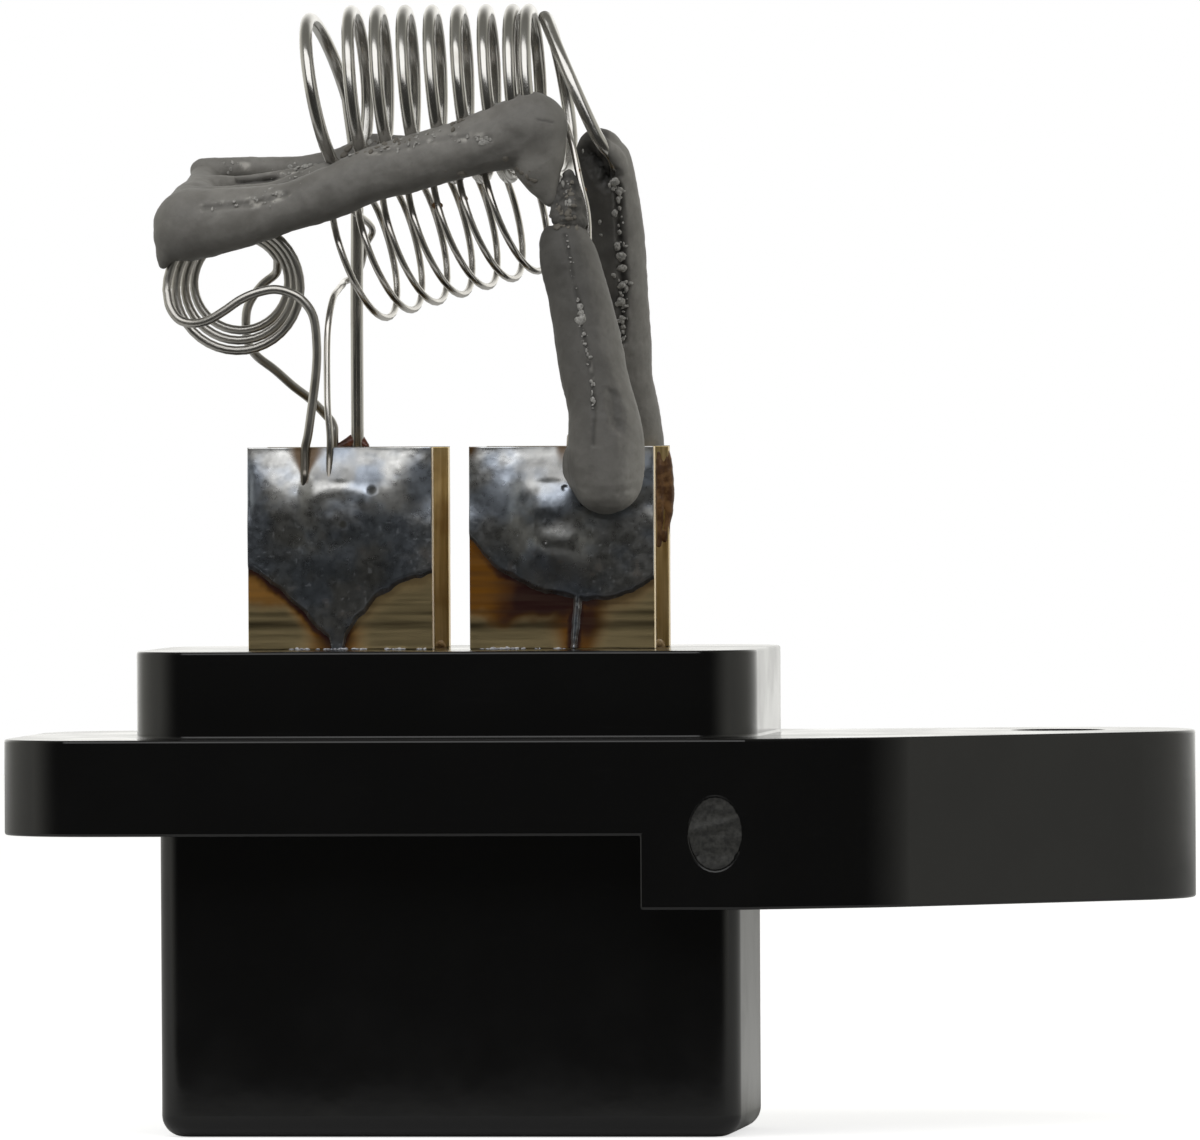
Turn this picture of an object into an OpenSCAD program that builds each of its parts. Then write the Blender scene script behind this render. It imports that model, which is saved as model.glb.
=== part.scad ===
// Blower motor resistor: three resistance coils in series between four brass terminals,
// on a moulded base that plugs into a blower duct and carries a connector socket underneath.
// Millimetres. X runs along the base, Y away from the front, Z up.
// The origin is the middle of the boss on the flange's top face, where the duct wall seats.

/* [Boss and flange] */
// Width of the raised boss that plugs into the duct
boss_w = 34.2; // [31:0.1:38]
// Depth of the boss
boss_d = 21; // [18:0.1:23]
// Height of the boss above the flange
boss_h = 4.77; // [3:0.01:8]
// Corner radius of the boss
boss_r = 4.2; // [2:0.1:6]
// Depth of the flange
flange_d = 25; // [24:0.1:30]
// Thickness of the flange at the left end and in the middle
flange_t = 5.26; // [4:0.01:7]
// Reach of the flange to the left of the origin
left_reach = 24.35; // [20:0.05:28]
// Corner radius at the left end of the flange
left_r = 5.5; // [2:0.1:9]

/* [Screw ear] */
// Thickness of the ear block at the right
ear_t = 9.28; // [7.5:0.01:12]
// Start of the ear block to the right of the origin
ear_from = 11.25; // [9:0.05:13]
// Start of the first, shallow slant on the ear's front side
ear_turn_from = 17; // [15:0.1:19]
// Start of the second, steeper slant, which runs on to the ear's round end
ear_slant_from = 24.45; // [22:0.05:26]
// Angle of the first slant
ear_turn_angle = 25; // [10:1:32]
// Distance of the screw hole from the origin along X
screw_x = 32.4; // [31:0.1:38]
// Distance of the screw hole behind the middle of the base
screw_y = 8; // [5:0.1:9]
// Diameter of the screw hole
screw_d = 5.2; // [4.2:0.1:6.5]
// Radius of the ear round the screw hole
ear_r = 7.6; // [6:0.1:8]

/* [Connector socket] */
// Outer width of the socket
socket_w = 32; // [30:0.1:33]
// Outer depth of the socket
socket_d = 14; // [13:0.1:17]
// Outer corner radius of the socket
socket_r = 1.75; // [1.3:0.05:3]
// Distance from the flange's top face to the socket's rim
socket_h = 21.92; // [19:0.01:26]
// Wall of the socket
socket_wall = 1.6; // [1.3:0.05:2]
// Rounding of the socket's outer lower edge
rim_round = 1.2; // [0.4:0.05:1.25]
// Distance from the flange's top face down to the roof of the socket cavity
cavity_roof = 8; // [6.5:0.1:9.5]
// Width of the oval moulding gate on the ear's front face
gate_w = 2.86; // [1:0.01:3.4]
// Height of the moulding gate
gate_h = 3.92; // [1:0.01:4.5]

/* [Terminals] */
// Distance between the left and right terminals
column_pitch = 12.26; // [11.4:0.02:13.4]
// Distance between the front and rear terminals
row_pitch = 7.6; // [6.8:0.1:8.2]
// Width of the brass plates
plate_w = 10.2; // [8.6:0.1:10.8]
// Height of the brass plates above the boss
plate_h = 11.1; // [9:0.1:13]
// Thickness of the brass
plate_t = 0.8; // [0.6:0.05:1]
// Width of the tab blades in the socket
blade_w = 6.3; // [4.8:0.1:7]
// Distance from the socket's rim to the blade tips
blade_recess = 4.2; // [3:0.1:6]
// Width of the clinch strap over the wire
strap_w = 3; // [2.8:0.05:3.4]
// Height of the clinch strap
strap_h = 2.4; // [1.6:0.1:3]
// How far the clinch strap stands out of the plate
strap_rise = 1.1; // [1:0.05:1.4]
// Thickness of the solder on the plates
solder_t = 0.3; // [0.2:0.02:0.5]

/* [Heavy coil] */
// Wire diameter of the heavy coil
heavy_wire = 0.72; // [0.5:0.02:0.8]
// Radius of the heavy coil to the middle of its wire
heavy_r = 4.6; // [4.4:0.05:5]
// Distance between turns of the heavy coil
heavy_pitch = 1.5; // [1.34:0.01:1.68]
// Height of the heavy coil's axis above the plates
heavy_lift = 19.45; // [18.8:0.05:19.8]

/* [Fine coil] */
// Wire diameter of the fine coil
fine_wire = 0.38; // [0.26:0.02:0.44]
// Radius of the fine coil to the middle of its wire
fine_r = 3.6; // [3.3:0.05:3.7]
// Distance between turns of the fine coil as a share of the heavy coil's
fine_share = 0.953; // [0.945:0.001:0.96]
// Rise of the fine coil's axis to the right
fine_tilt = 16.3; // [15:0.1:18]
// Swing of the fine coil's right end towards the front
fine_skew = 9; // [7:0.5:10]
// Height of the fine coil's first turn above the plates
fine_lift = 10.6; // [10.3:0.05:11]

/* [Small coil] */
// Wire diameter of the small coil
small_wire = 0.5; // [0.36:0.02:0.6]
// Radius of the small coil's widest turn, at the front
small_r = 3.79; // [3.5:0.01:4]
// How much narrower each turn of the small coil is than the one before it
small_shrink = 0.41; // [0.2:0.01:0.45]
// Distance between turns of the small coil along its axis
small_pitch = 1.2; // [1.1:0.05:1.3]

/* [Cement] */
// Radius of the cement bars along the coils
bar_r = 1.48; // [1.3:0.02:1.7]
// Radius of the cement posts round the end leads
post_r = 1.72; // [1.4:0.02:1.9]

/* [Hidden] */
$fn = 48;

black = "#1b1b1c";
brass = "#b08a4a";
solder_grey = "#8d939a";
wire_grey = "#9b978c";
cement_grey = "#62605b";

// Reach of a cut past the face that it opens
cut = 1;
// How far the ear's straight sides cut into its round end, so that they cross it rather than graze it
ear_bite = 0.02;
// Room round a blade in its slot and round a wire in what grips it
slot_gap = 0.05;
wire_gap = 0.02;
// Depth of the gate mark and of the seam in a plate
gate_depth = 0.2;
seam_depth = 0.15;
seam_w = 0.4;
// Length of the taper at a blade's tip, the width left there and the detent hole
tip_taper = 1.6;
tip_w = 0.6 * blade_w;
detent_d = 1.6;
detent_from_tip = 3.6;

plate_top = boss_h + plate_h;
face_y = row_pitch / 2 + plate_t / 2;
left_x = -column_pitch / 2;
right_x = column_pitch / 2;
blade_tip = -socket_h + blade_recess;
strap_top = plate_top - 2;
strap_foot = strap_top - strap_h;
strap_curve = (strap_w * strap_w / 4 + strap_rise * strap_rise) / (2 * strap_rise);
wire_foot = strap_foot - 0.2;
gate_x = ear_from + 4.1;
gate_z = -ear_t * 0.554;

// Outlines in the plane

module rounded_rect(w, d, r) {
    square([w, d - 2 * r], center = true);
    square([w - 2 * r, d], center = true);
    for (sx = [-1, 1], sy = [-1, 1])
        translate([sx * (w / 2 - r), sy * (d / 2 - r)]) circle(r);
}

// Point where a line from p touches the circle of radius r round c, on the side given
function touch(p, c, r, side) =
    let (d = norm(c - p))
    let (a = atan2(c[1] - p[1], c[0] - p[0]) + side * asin(r / d))
    p + sqrt(d * d - r * r) * [cos(a), sin(a)];

// The ear runs back to the screw hole: its front side slants twice and its rear side flares a little
module ear_outline() {
    hole = [screw_x, screw_y];
    turn = [ear_turn_from, -flange_d / 2];
    run = ear_slant_from - ear_turn_from;
    front = turn + run * [1, tan(ear_turn_angle)];
    rear = [ear_turn_from + 4, flange_d / 2];
    polygon([
        [ear_from, -flange_d / 2], turn, front, touch(front, hole, ear_r - ear_bite, -1), hole,
        touch(rear, hole, ear_r - ear_bite, 1), rear, [ear_from, flange_d / 2]
    ]);
    translate(hole) circle(ear_r);
}

module flange_outline() {
    right = ear_from + 1;
    run = left_reach - left_r + right;
    translate([-left_reach + left_r, -flange_d / 2]) square([run, flange_d]);
    translate([-left_reach, -flange_d / 2 + left_r]) square([left_r + 1, flange_d - 2 * left_r]);
    for (s = [-1, 1]) translate([-left_reach + left_r, s * (flange_d / 2 - left_r)]) circle(left_r);
}

// Housing

// Quarter-round lower edge of a slab of half width reach, as a profile from the middle out
module rim_profile(reach) {
    translate([0, rim_round]) square([reach, 0.5]);
    square([reach - rim_round, rim_round + 0.2]);
    intersection() {
        translate([reach - rim_round, rim_round]) circle(rim_round);
        translate([reach - rim_round, 0]) square(rim_round);
    }
}

// Socket block with its lower edge rounded all round
module socket_block() {
    inner_w = socket_w - 2 * socket_r;
    inner_d = socket_d - 2 * socket_r;
    translate([0, 0, rim_round])
        linear_extrude(socket_h - rim_round) rounded_rect(socket_w, socket_d, socket_r);
    for (s = [0, 1]) {
        mirror([s, 0, 0]) rotate([90, 0, 0])
            linear_extrude(inner_d, center = true) rim_profile(socket_w / 2);
        mirror([0, s, 0]) rotate([90, 0, 90])
            linear_extrude(inner_w, center = true) rim_profile(socket_d / 2);
    }
    for (sx = [-1, 1], sy = [-1, 1])
        translate([sx * inner_w / 2, sy * inner_d / 2]) rotate_extrude() rim_profile(socket_r);
}

module gate_mark() {
    oval = [for (a = [0 : 11.25 : 350]) [gate_w / 2 * cos(a), gate_h / 2 * sin(a)]];
    translate([gate_x, -flange_d / 2 + gate_depth, gate_z])
        rotate([90, 0, 0]) linear_extrude(gate_depth + cut) polygon(oval);
}

module housing() {
    cavity_w = socket_w - 2 * socket_wall;
    cavity_d = socket_d - 2 * socket_wall;
    slot = [blade_w + 2 * slot_gap, plate_t + 2 * slot_gap, boss_h + cavity_roof + cut];
    color(black) difference() {
        union() {
            linear_extrude(boss_h) rounded_rect(boss_w, boss_d, boss_r);
            translate([0, 0, -flange_t]) linear_extrude(flange_t) flange_outline();
            translate([0, 0, -ear_t]) linear_extrude(ear_t) ear_outline();
            translate([0, 0, -socket_h]) socket_block();
        }
        translate([0, 0, -socket_h - cut]) linear_extrude(socket_h + cut - cavity_roof)
            rounded_rect(cavity_w, cavity_d, socket_r / 2);
        for (x = [left_x, right_x], s = [-1, 1])
            translate([x, s * row_pitch / 2, boss_h / 2 - cavity_roof / 2]) cube(slot, center = true);
        translate([screw_x, screw_y, -ear_t - cut]) cylinder(d = screw_d, h = ear_t + 2 * cut);
        gate_mark();
    }
}

// Terminals

// Flat blank of a terminal: plate, shoulders on the boss and the tab blade with its tapered tip
module terminal_blank() {
    polygon([
        [-plate_w / 2, boss_h], [-blade_w / 2, boss_h], [-blade_w / 2, blade_tip + tip_taper],
        [-tip_w / 2, blade_tip], [tip_w / 2, blade_tip], [blade_w / 2, blade_tip + tip_taper],
        [blade_w / 2, boss_h], [plate_w / 2, boss_h], [plate_w / 2, plate_top], [-plate_w / 2, plate_top]
    ]);
}

// A wide arch at offset x that bridges the wire on the plate's outer face, grown all round by skin
module strap(x, skin) {
    translate([x, 0, strap_foot - skin]) intersection() {
        translate([0, strap_curve - strap_rise, 0]) cylinder(r = strap_curve + skin, h = strap_h + 2 * skin);
        translate([-strap_w, -strap_w, 0]) cube([2 * strap_w, strap_w, strap_h + 2 * skin]);
    }
}

// Vertical run of a wire at offset x on the outer face
module wire_run(x, d, gap) {
    translate([x, -d / 2, wire_foot - gap]) cylinder(d = d + 2 * gap, h = plate_top + cut - wire_foot);
}

// A terminal seen from its outer face, which lies on y = 0, with the offset of its strap
module terminal_shape(x, d, strap_x) {
    difference() {
        union() {
            translate([0, plate_t, 0]) rotate([90, 0, 0]) linear_extrude(plate_t) terminal_blank();
            strap(strap_x, 0);
        }
        wire_run(x, d, wire_gap);
        translate([-seam_w / 2, -cut, boss_h - cut]) cube([seam_w, cut + seam_depth, plate_h * 0.4 + cut]);
        translate([0, -cut, blade_tip + detent_from_tip]) rotate([-90, 0, 0])
            cylinder(d = detent_d, h = plate_t + 2 * cut);
    }
}

// Puts a shape made on y = 0 onto a terminal's outer face: the rear ones face backwards
module on_face(x, side) {
    translate([x, side * face_y, 0]) mirror([0, side > 0 ? 1 : 0, 0]) children();
}

// Wires and straps: offsets from the plate's middle along X
fl_fine_x = -0.5;
fl_small_x = -1.85;
fr_fine_x = 0.5;
rl_heavy_x = -0.1;
rl_small_x = -1.4;
rr_heavy_x = 0.8;
fl_strap_x = 0.2;
fr_strap_x = -0.5;
rl_strap_x = 0.45;
rr_strap_x = 0.8;

module terminal_front_left() {
    color(brass) on_face(left_x, -1) terminal_shape(fl_fine_x, fine_wire, fl_strap_x);
}
module terminal_front_right() {
    color(brass) on_face(right_x, -1) terminal_shape(fr_fine_x, fine_wire, fr_strap_x);
}
module terminal_rear_left() {
    color(brass) on_face(left_x, 1) terminal_shape(rl_heavy_x, heavy_wire, rl_strap_x);
}
module terminal_rear_right() {
    color(brass) on_face(right_x, 1) terminal_shape(rr_heavy_x, heavy_wire, rr_strap_x);
}

// Solder

// Shield-shaped film: full width at the top, drawn in to a tail along the seam
module solder_outline(low, tail) {
    w = plate_w / 2 - 0.1;
    polygon([
        [-w, plate_top - 0.05], [w, plate_top - 0.05], [w, plate_top - low],
        [w * 0.55, plate_top - low - 1], [seam_w, plate_top - low - 1.9], [seam_w * 0.6, boss_h + tail],
        [-seam_w * 0.6, boss_h + tail], [-seam_w, plate_top - low - 1.9],
        [-w * 0.55, plate_top - low - 1.2], [-w, plate_top - low]
    ]);
}

// Solder drawn up round a wire beside or under the strap
module solder_ridge(x, d) {
    translate([x, 0, wire_foot - 0.3]) intersection() {
        translate([0, -d / 2, 0]) cylinder(d = d + 2 * solder_t, h = plate_top - wire_foot - 0.2);
        translate([-d - 1, -d - 1, 0]) cube([2 * d + 2, d + 1, plate_h]);
    }
}

// wires is a list of offsets and diameters, the first one under the strap
module solder_joint(low, wires, strap_x) {
    difference() {
        union() {
            rotate([90, 0, 0]) linear_extrude(solder_t) solder_outline(low, 0.1);
            strap(strap_x, solder_t);
            for (w = wires) solder_ridge(w[0], w[1]);
        }
        strap(strap_x, 0);
        for (w = wires) wire_run(w[0], w[1], wire_gap);
    }
}

module solder_front_left() {
    color(solder_grey) on_face(left_x, -1)
        solder_joint(6.9, [[fl_fine_x, fine_wire], [fl_small_x, small_wire]], fl_strap_x);
}
module solder_front_right() {
    color(solder_grey) on_face(right_x, -1) solder_joint(5.6, [[fr_fine_x, fine_wire]], fr_strap_x);
}
module solder_rear_left() {
    color(solder_grey) on_face(left_x, 1)
        solder_joint(6.3, [[rl_heavy_x, heavy_wire], [rl_small_x, small_wire]], rl_strap_x);
}
module solder_rear_right() {
    color(solder_grey) on_face(right_x, 1) solder_joint(6.0, [[rr_heavy_x, heavy_wire]], rr_strap_x);
}

// Wire sweeps

function unit(v) = v / norm(v);
function ease(t) = let (c = min(max(t, 0), 1)) c * c * (3 - 2 * c);
function tangent(p, i) = unit(p[min(i + 1, len(p) - 1)] - p[max(i - 1, 0)]);
function square_to(n, t) = unit(n - t * (n * t));

// Ring normals carried along the path without twist
function carried_normals(p) = [
    for (i = 0, n = square_to([0.31, 0.87, 0.38], tangent(p, 0)); i < len(p);
         i = i + 1, n = square_to(n, tangent(p, min(i, len(p) - 1)))) n
];

// Smooth curve through the points of p, with steps stretches between neighbours
function spline_at(a, b, c, d, t) =
    0.5 * (2 * b + (c - a) * t + (2 * a - 5 * b + 4 * c - d) * t * t + (3 * b - a - 3 * c + d) * t * t * t);
function spline(p, steps) = let (n = len(p) - 1) concat([
    for (i = [0 : n - 1], k = [0 : steps - 1])
        spline_at(i > 0 ? p[i - 1] : 2 * p[0] - p[1], p[i], p[i + 1],
            i < n - 1 ? p[i + 2] : 2 * p[n] - p[n - 1], k / steps)
], [p[n]]);
function all_but_last(p) = [for (i = [0 : len(p) - 2]) p[i]];

// One closed tube of the given wire diameter along the path
module wire(path, d, sides) {
    n = carried_normals(path);
    last = len(path) - 1;
    points = [
        for (i = [0 : last], k = [0 : sides - 1])
            let (t = tangent(path, i), a = 360 * k / sides)
            path[i] + d / 2 * (cos(a) * n[i] + sin(a) * cross(t, n[i]))
    ];
    sleeve = [
        for (i = [0 : last - 1], k = [0 : sides - 1], half = [0, 1])
            let (a = i * sides + k, b = i * sides + (k + 1) % sides)
            half == 0 ? [a, a + sides, b] : [b, a + sides, b + sides]
    ];
    caps = [
        [for (k = [0 : sides - 1]) k],
        [for (k = [0 : sides - 1]) last * sides + sides - 1 - k]
    ];
    polyhedron(points, concat(sleeve, caps));
}

// A lead's first two points: its foot under the solder and its way out over the plate's edge
function plate_foot(x, y) = [[x, y, wire_foot], [x, y, plate_top + 0.6]];

// Heavy coil: right-handed about +X, turned from the top towards the front

heavy_sides = 8;
heavy_steps = 18;
heavy_z = plate_top + heavy_lift;
heavy_mid = left_x + 0.25;
heavy_turns = 6;
heavy_splay = 2.3;
heavy_close = 0.88;
heavy_close_turns = 2;
heavy_lean = 3;
heavy_last_lean = 7;
heavy_skew = 1;
heavy_last = 1 + heavy_turns + heavy_close_turns;

// Place of the coil's middle along X after t turns from the first arch: splayed, even, then close
function heavy_x(t) =
    t < 0 ? heavy_mid - heavy_splay + 2 * ease(-t / 0.45)
    : t < 1 ? heavy_mid - heavy_splay * (1 - ease(1.25 * t))
    : heavy_mid + heavy_pitch * min(t - 1, heavy_turns) + heavy_close * max(t - 1 - heavy_turns, 0);
function heavy_at(t) =
    let (y = -heavy_r * sin(360 * t), z = heavy_r * cos(360 * t), x = heavy_x(t))
    let (lean = heavy_lean + heavy_last_lean * ease((t - heavy_last + 0.8) / 0.5))
    let (dip = 0.4 * (ease(1 - abs(t) / 0.4) + ease(1 - abs(t - heavy_last) / 0.4)))
    [
        x + (heavy_r - z) * tan(lean) + y * sin(heavy_skew),
        y * cos(heavy_skew) - x * tan(heavy_skew),
        heavy_z + z - dip
    ];

heavy_rear_y = face_y + heavy_wire / 2;
heavy_start = heavy_at(-0.25);
heavy_end = heavy_at(heavy_last);
heavy_lead_in = concat(plate_foot(left_x + rl_heavy_x, heavy_rear_y), [
    [left_x + rl_heavy_x, heavy_rear_y, plate_top + 8],
    [left_x + rl_heavy_x, heavy_start[1], heavy_start[2] - 4.3],
    heavy_start
]);
// The end lead swings over the front, then runs down inside the rear post to its plate
heavy_lead_out = [
    heavy_end, heavy_end + [1.5, -2.2, -3.1], heavy_end + [3.1, -2.6, -6.55],
    [right_x + 2.69, -1.9, plate_top + 15.7],
    [right_x + 2.6, 0, plate_top + 13.7],
    [right_x + 2.45, 2.4, plate_top + 9.1],
    [right_x + 2.3, 3.7, plate_top + 5.3],
    [right_x + 1.5, heavy_rear_y, plate_top + 1.9],
    [right_x + rr_heavy_x, heavy_rear_y, plate_top - 0.2],
    [right_x + rr_heavy_x, heavy_rear_y, wire_foot]
];
heavy_path = concat(
    all_but_last(spline(heavy_lead_in, 4)),
    [for (i = [1 : round((heavy_last + 0.25) * heavy_steps) - 1]) heavy_at(-0.25 + i / heavy_steps)],
    spline(heavy_lead_out, 4)
);

module heavy_coil() { color(wire_grey) wire(heavy_path, heavy_wire, heavy_sides); }

// Fine coil: the same hand, tilted up to the right and swung so that it threads between heavy turns

fine_sides = 6;
fine_steps = 18;
fine_full_turns = 6;
fine_z = plate_top + fine_lift;
fine_pitch = heavy_pitch * fine_share;
fine_back = 0.9;
// The first turn is placed so that the tops come up midway between the heavy coil's lower strands
fine_first = heavy_mid + fine_r * sin(fine_tilt) + 2 * heavy_r * tan(heavy_lean) - heavy_pitch / 2;

function fine_at(t) =
    let (y = -fine_r * sin(360 * t), z = fine_r * cos(360 * t), s = fine_pitch * (t - 0.5))
    [
        fine_first + s - z * sin(fine_tilt) + y * sin(fine_skew),
        fine_back - s * tan(fine_skew) + y * cos(fine_skew),
        fine_z + s * tan(fine_tilt) + z * cos(fine_tilt)
    ];

fine_front_y = -face_y - fine_wire / 2;
fine_t0 = -0.08;
fine_t1 = fine_full_turns + 0.8;
// The lead rises in front, hooks back under the coil and climbs behind the heavy coil's lead
fine_lead_in = concat(plate_foot(left_x + fl_fine_x, fine_front_y), [
    [left_x - 0.66, -4.1, plate_top + 2.6],
    [left_x - 0.77, -3.1, plate_top + 6.2],
    [left_x - 0.68, -1.6, plate_top + 8.1],
    [left_x - 0.6, 0.6, plate_top + 8.75],
    [left_x - 0.66, 2.8, plate_top + 9],
    [left_x - 0.8, 4.2, plate_top + 9.15],
    [left_x - 0.45, 5.2, plate_top + 9.4],
    [left_x, 5.5, plate_top + 10],
    [left_x + 0.3, 5.5, plate_top + 11.2],
    [left_x + 0.7, 5, plate_top + 12.2],
    fine_at(fine_t0)
]);
// The other lead passes between two lower strands of the heavy coil, leaves through that coil's open end
// and runs down inside the front post
fine_pass = heavy_turns + 0.57;
fine_lead_out = [
    fine_at(fine_t1),
    (heavy_at(fine_pass) + heavy_at(fine_pass + 1)) / 2 + [0, 0, 0.1],
    [heavy_end[0] - 0.35, 0.8, heavy_z - 2.35],
    [heavy_end[0] + 1.1, -1.6, heavy_z - 1.55],
    [heavy_end[0] + 1.79, -3.4, heavy_z - 2.65],
    [right_x + 1.11, -4.2, plate_top + 14.6],
    [right_x + 1.58, -4.5, plate_top + 12.2],
    [right_x + 1.55, -4.9, plate_top + 8],
    [right_x + 1.9, -5, plate_top + 3.9],
    [right_x + 1.6, -4.8, plate_top + 1.8],
    [right_x + fr_fine_x + 0.2, -4.5, plate_top + 0.7],
    [right_x + fr_fine_x, fine_front_y, plate_top],
    [right_x + fr_fine_x, fine_front_y, wire_foot]
];
fine_path = concat(
    all_but_last(spline(fine_lead_in, 4)),
    [for (i = [0 : round((fine_t1 - fine_t0) * fine_steps) - 1]) fine_at(fine_t0 + i / fine_steps)],
    spline(fine_lead_out, 4)
);

module fine_coil() { color(wire_grey) wire(fine_path, fine_wire, fine_sides); }

// Small coil: its axis runs straight back and each turn is narrower than the one in front of it

small_sides = 6;
small_steps = 18;
small_turns = 3.42;
small_near = [left_x - 5.83, -3.5, plate_top + 8.73];
small_axis = [-0.06, 1, 0.13];

function small_at(t) =
    small_near + small_pitch * t * small_axis
    + (small_r - small_shrink * t) * [-cos(360 * t), 0, sin(360 * t)];

small_front_y = -face_y - small_wire / 2;
small_rear_y = face_y + small_wire / 2;
fl_small_foot = left_x + fl_small_x;
rl_small_foot = left_x + rl_small_x;
// The front lead crosses the coil's open front, the rear one drops from the narrow end
small_lead_in = [
    [fl_small_foot, small_front_y, wire_foot],
    [fl_small_foot, small_front_y, plate_top],
    [fl_small_foot + 0.2, -4.5, plate_top + 1],
    [left_x - 1.22, -4.6, plate_top + 4.2],
    [left_x - 1.35, -4.75, plate_top + 7.2],
    [left_x - 2.6, -4.85, plate_top + 8.5],
    [left_x - 4.47, -4.95, plate_top + 8.5],
    [left_x - 6.26, -4.9, plate_top + 7.54],
    [left_x - 8, -4.5, plate_top + 6.87],
    [left_x - 8.85, -4.2, plate_top + 7.1],
    [left_x - 9.4, -3.85, plate_top + 7.8],
    small_at(0)
];
small_lead_out = [
    small_at(small_turns),
    [left_x - 4.17, 1.2, plate_top + 9.66],
    [left_x - 5, 1.5, plate_top + 9],
    [left_x - 5.95, 1.9, plate_top + 7.2],
    [left_x - 5.43, 2.5, plate_top + 5.1],
    [left_x - 3.54, 3.4, plate_top + 3.4],
    [left_x - 1.94, 4.35, plate_top + 1.9],
    [rl_small_foot - 0.06, 4.5, plate_top + 1.2],
    [rl_small_foot, small_rear_y, plate_top + 0.2],
    [rl_small_foot, small_rear_y, wire_foot]
];
small_path = concat(
    all_but_last(spline(small_lead_in, 3)),
    [for (i = [0 : round(small_turns * small_steps) - 1]) small_at(i / small_steps)],
    spline(small_lead_out, 3)
);

module small_coil() { color(wire_grey) wire(small_path, small_wire, small_sides); }

// Cement

bead_fn = 16;

// A bead drawn along points of the form [x, y, z, radius]
module bead(line) {
    for (i = [0 : len(line) - 2]) hull() for (p = [line[i], line[i + 1]])
        translate([p[0], p[1], p[2]]) sphere(p[3], $fn = bead_fn);
}

module all_wires() {
    wire(heavy_path, heavy_wire, heavy_sides);
    wire(fine_path, fine_wire, fine_sides);
    wire(small_path, small_wire, small_sides);
}

// Front bar: along the near sides of both coils where they cross, up to a knob at the right
bar_y = -heavy_r + 0.3;
bar_start = [left_x - 8.35, -3.6, plate_top + 12.3, bar_r * 1.34];
front_bar = [
    bar_start,
    [left_x - 6.64, -3.9, plate_top + 12.44, bar_r * 1.24],
    [left_x - 4.9, -4.1, plate_top + 12.7, bar_r * 1.08],
    [left_x - 2.6, bar_y, plate_top + 13.2, bar_r * 0.95],
    [left_x - 0.43, bar_y, plate_top + 14.1, bar_r * 0.95],
    [left_x + 1.68, bar_y, plate_top + 15, bar_r * 0.95],
    [left_x + 5.9, bar_y, plate_top + 16.1, bar_r * 1.05],
    [left_x + 8, bar_y, plate_top + 16.7, bar_r * 1.13],
    [right_x - 2.56, bar_y, plate_top + 17.2, bar_r * 1.28],
    [right_x - 1.51, bar_y, plate_top + 17.5, bar_r * 1.34],
    [right_x - 1.09, bar_y, plate_top + 15.2, bar_r * 0.87],
    [right_x - 0.52, bar_y, plate_top + 13.65, bar_r * 0.36]
];
// Left end: a saddle over the top of the small coil that joins the two bars
rear_bar_y = heavy_r - 0.2;
rear_bar_start = [left_x - 8.15, 3.6, plate_top + 15, bar_r * 0.56];
end_saddle = [
    bar_start,
    [left_x - 8.3, -1, plate_top + 13.4, bar_r],
    [left_x - 8.15, 1.6, plate_top + 14.3, bar_r * 0.74],
    rear_bar_start
];
rear_bar = [
    rear_bar_start,
    [left_x - 5.34, rear_bar_y, plate_top + 15.4, bar_r * 0.56],
    [left_x - 3.2, rear_bar_y, plate_top + 15.3, bar_r * 0.67],
    [left_x - 1.26, rear_bar_y, plate_top + 15.5, bar_r * 0.67],
    [left_x + 0.65, rear_bar_y, plate_top + 16.9, bar_r * 0.74],
    [left_x + 4.6, rear_bar_y, plate_top + 15.9, bar_r * 0.74],
    [left_x + 8, rear_bar_y - 0.1, plate_top + 16.4, bar_r * 0.67],
    [right_x - 3.15, rear_bar_y - 0.3, plate_top + 16.4, bar_r * 0.56]
];

module coil_cement() {
    color(cement_grey) difference() {
        union() {
            bead(front_bar);
            bead(end_saddle);
            bead(rear_bar);
        }
        all_wires();
    }
}

// What a post may not enter: the solder on its plate, the strap and all that lies behind the plate's face
module joint_block(x, side, strap_x) {
    on_face(x, side) {
        translate([-plate_w, -solder_t, boss_h]) cube([2 * plate_w, row_pitch / 2, plate_h]);
        strap(strap_x, solder_t);
    }
}

// Beads round the end leads, thicker at the foot where they sit on the solder
front_post = [
    [right_x + 0.3, -4.6, plate_top + 10.95, post_r * 0.84],
    [right_x + 0.49, -4.7, plate_top + 10.2, post_r * 0.94],
    [right_x + 1.13, -4.9, plate_top + 8, post_r],
    [right_x + 1.62, -5, plate_top + 5.7, post_r * 1.07],
    [right_x + 2.32, -5.2, plate_top + 2.3, post_r * 1.1],
    [right_x + 2.6, -5.4, plate_top + 0.3, post_r * 1.2],
    [right_x + 2.6, -5.1, plate_top - 1.8, post_r * 1.05]
];
rear_post = [
    [right_x + 1.9, -1.2, plate_top + 16.2, post_r * 0.78],
    [right_x + 2.2, -0.8, plate_top + 15.4, post_r * 0.88],
    [right_x + 2.35, 0.9, plate_top + 12.6, post_r * 0.95],
    [right_x + 2.46, 2.4, plate_top + 9, post_r * 0.96],
    [right_x + 2.55, 3.9, plate_top + 3.9, post_r * 0.96],
    [right_x + 2.85, 4.6, plate_top + 2, post_r * 0.96],
    [right_x + 3.1, 5.1, plate_top + 0.3, post_r * 0.93],
    [right_x + 3.1, 5, plate_top - 2, post_r * 0.85]
];

module front_post_cement() {
    color(cement_grey) difference() {
        union() {
            bead(spline(front_post, 2));
        }
        all_wires();
        joint_block(right_x, -1, fr_strap_x);
    }
}

module rear_post_cement() {
    color(cement_grey) difference() {
        union() {
            bead(spline(rear_post, 2));
        }
        all_wires();
        joint_block(right_x, 1, rr_strap_x);
    }
}

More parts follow.
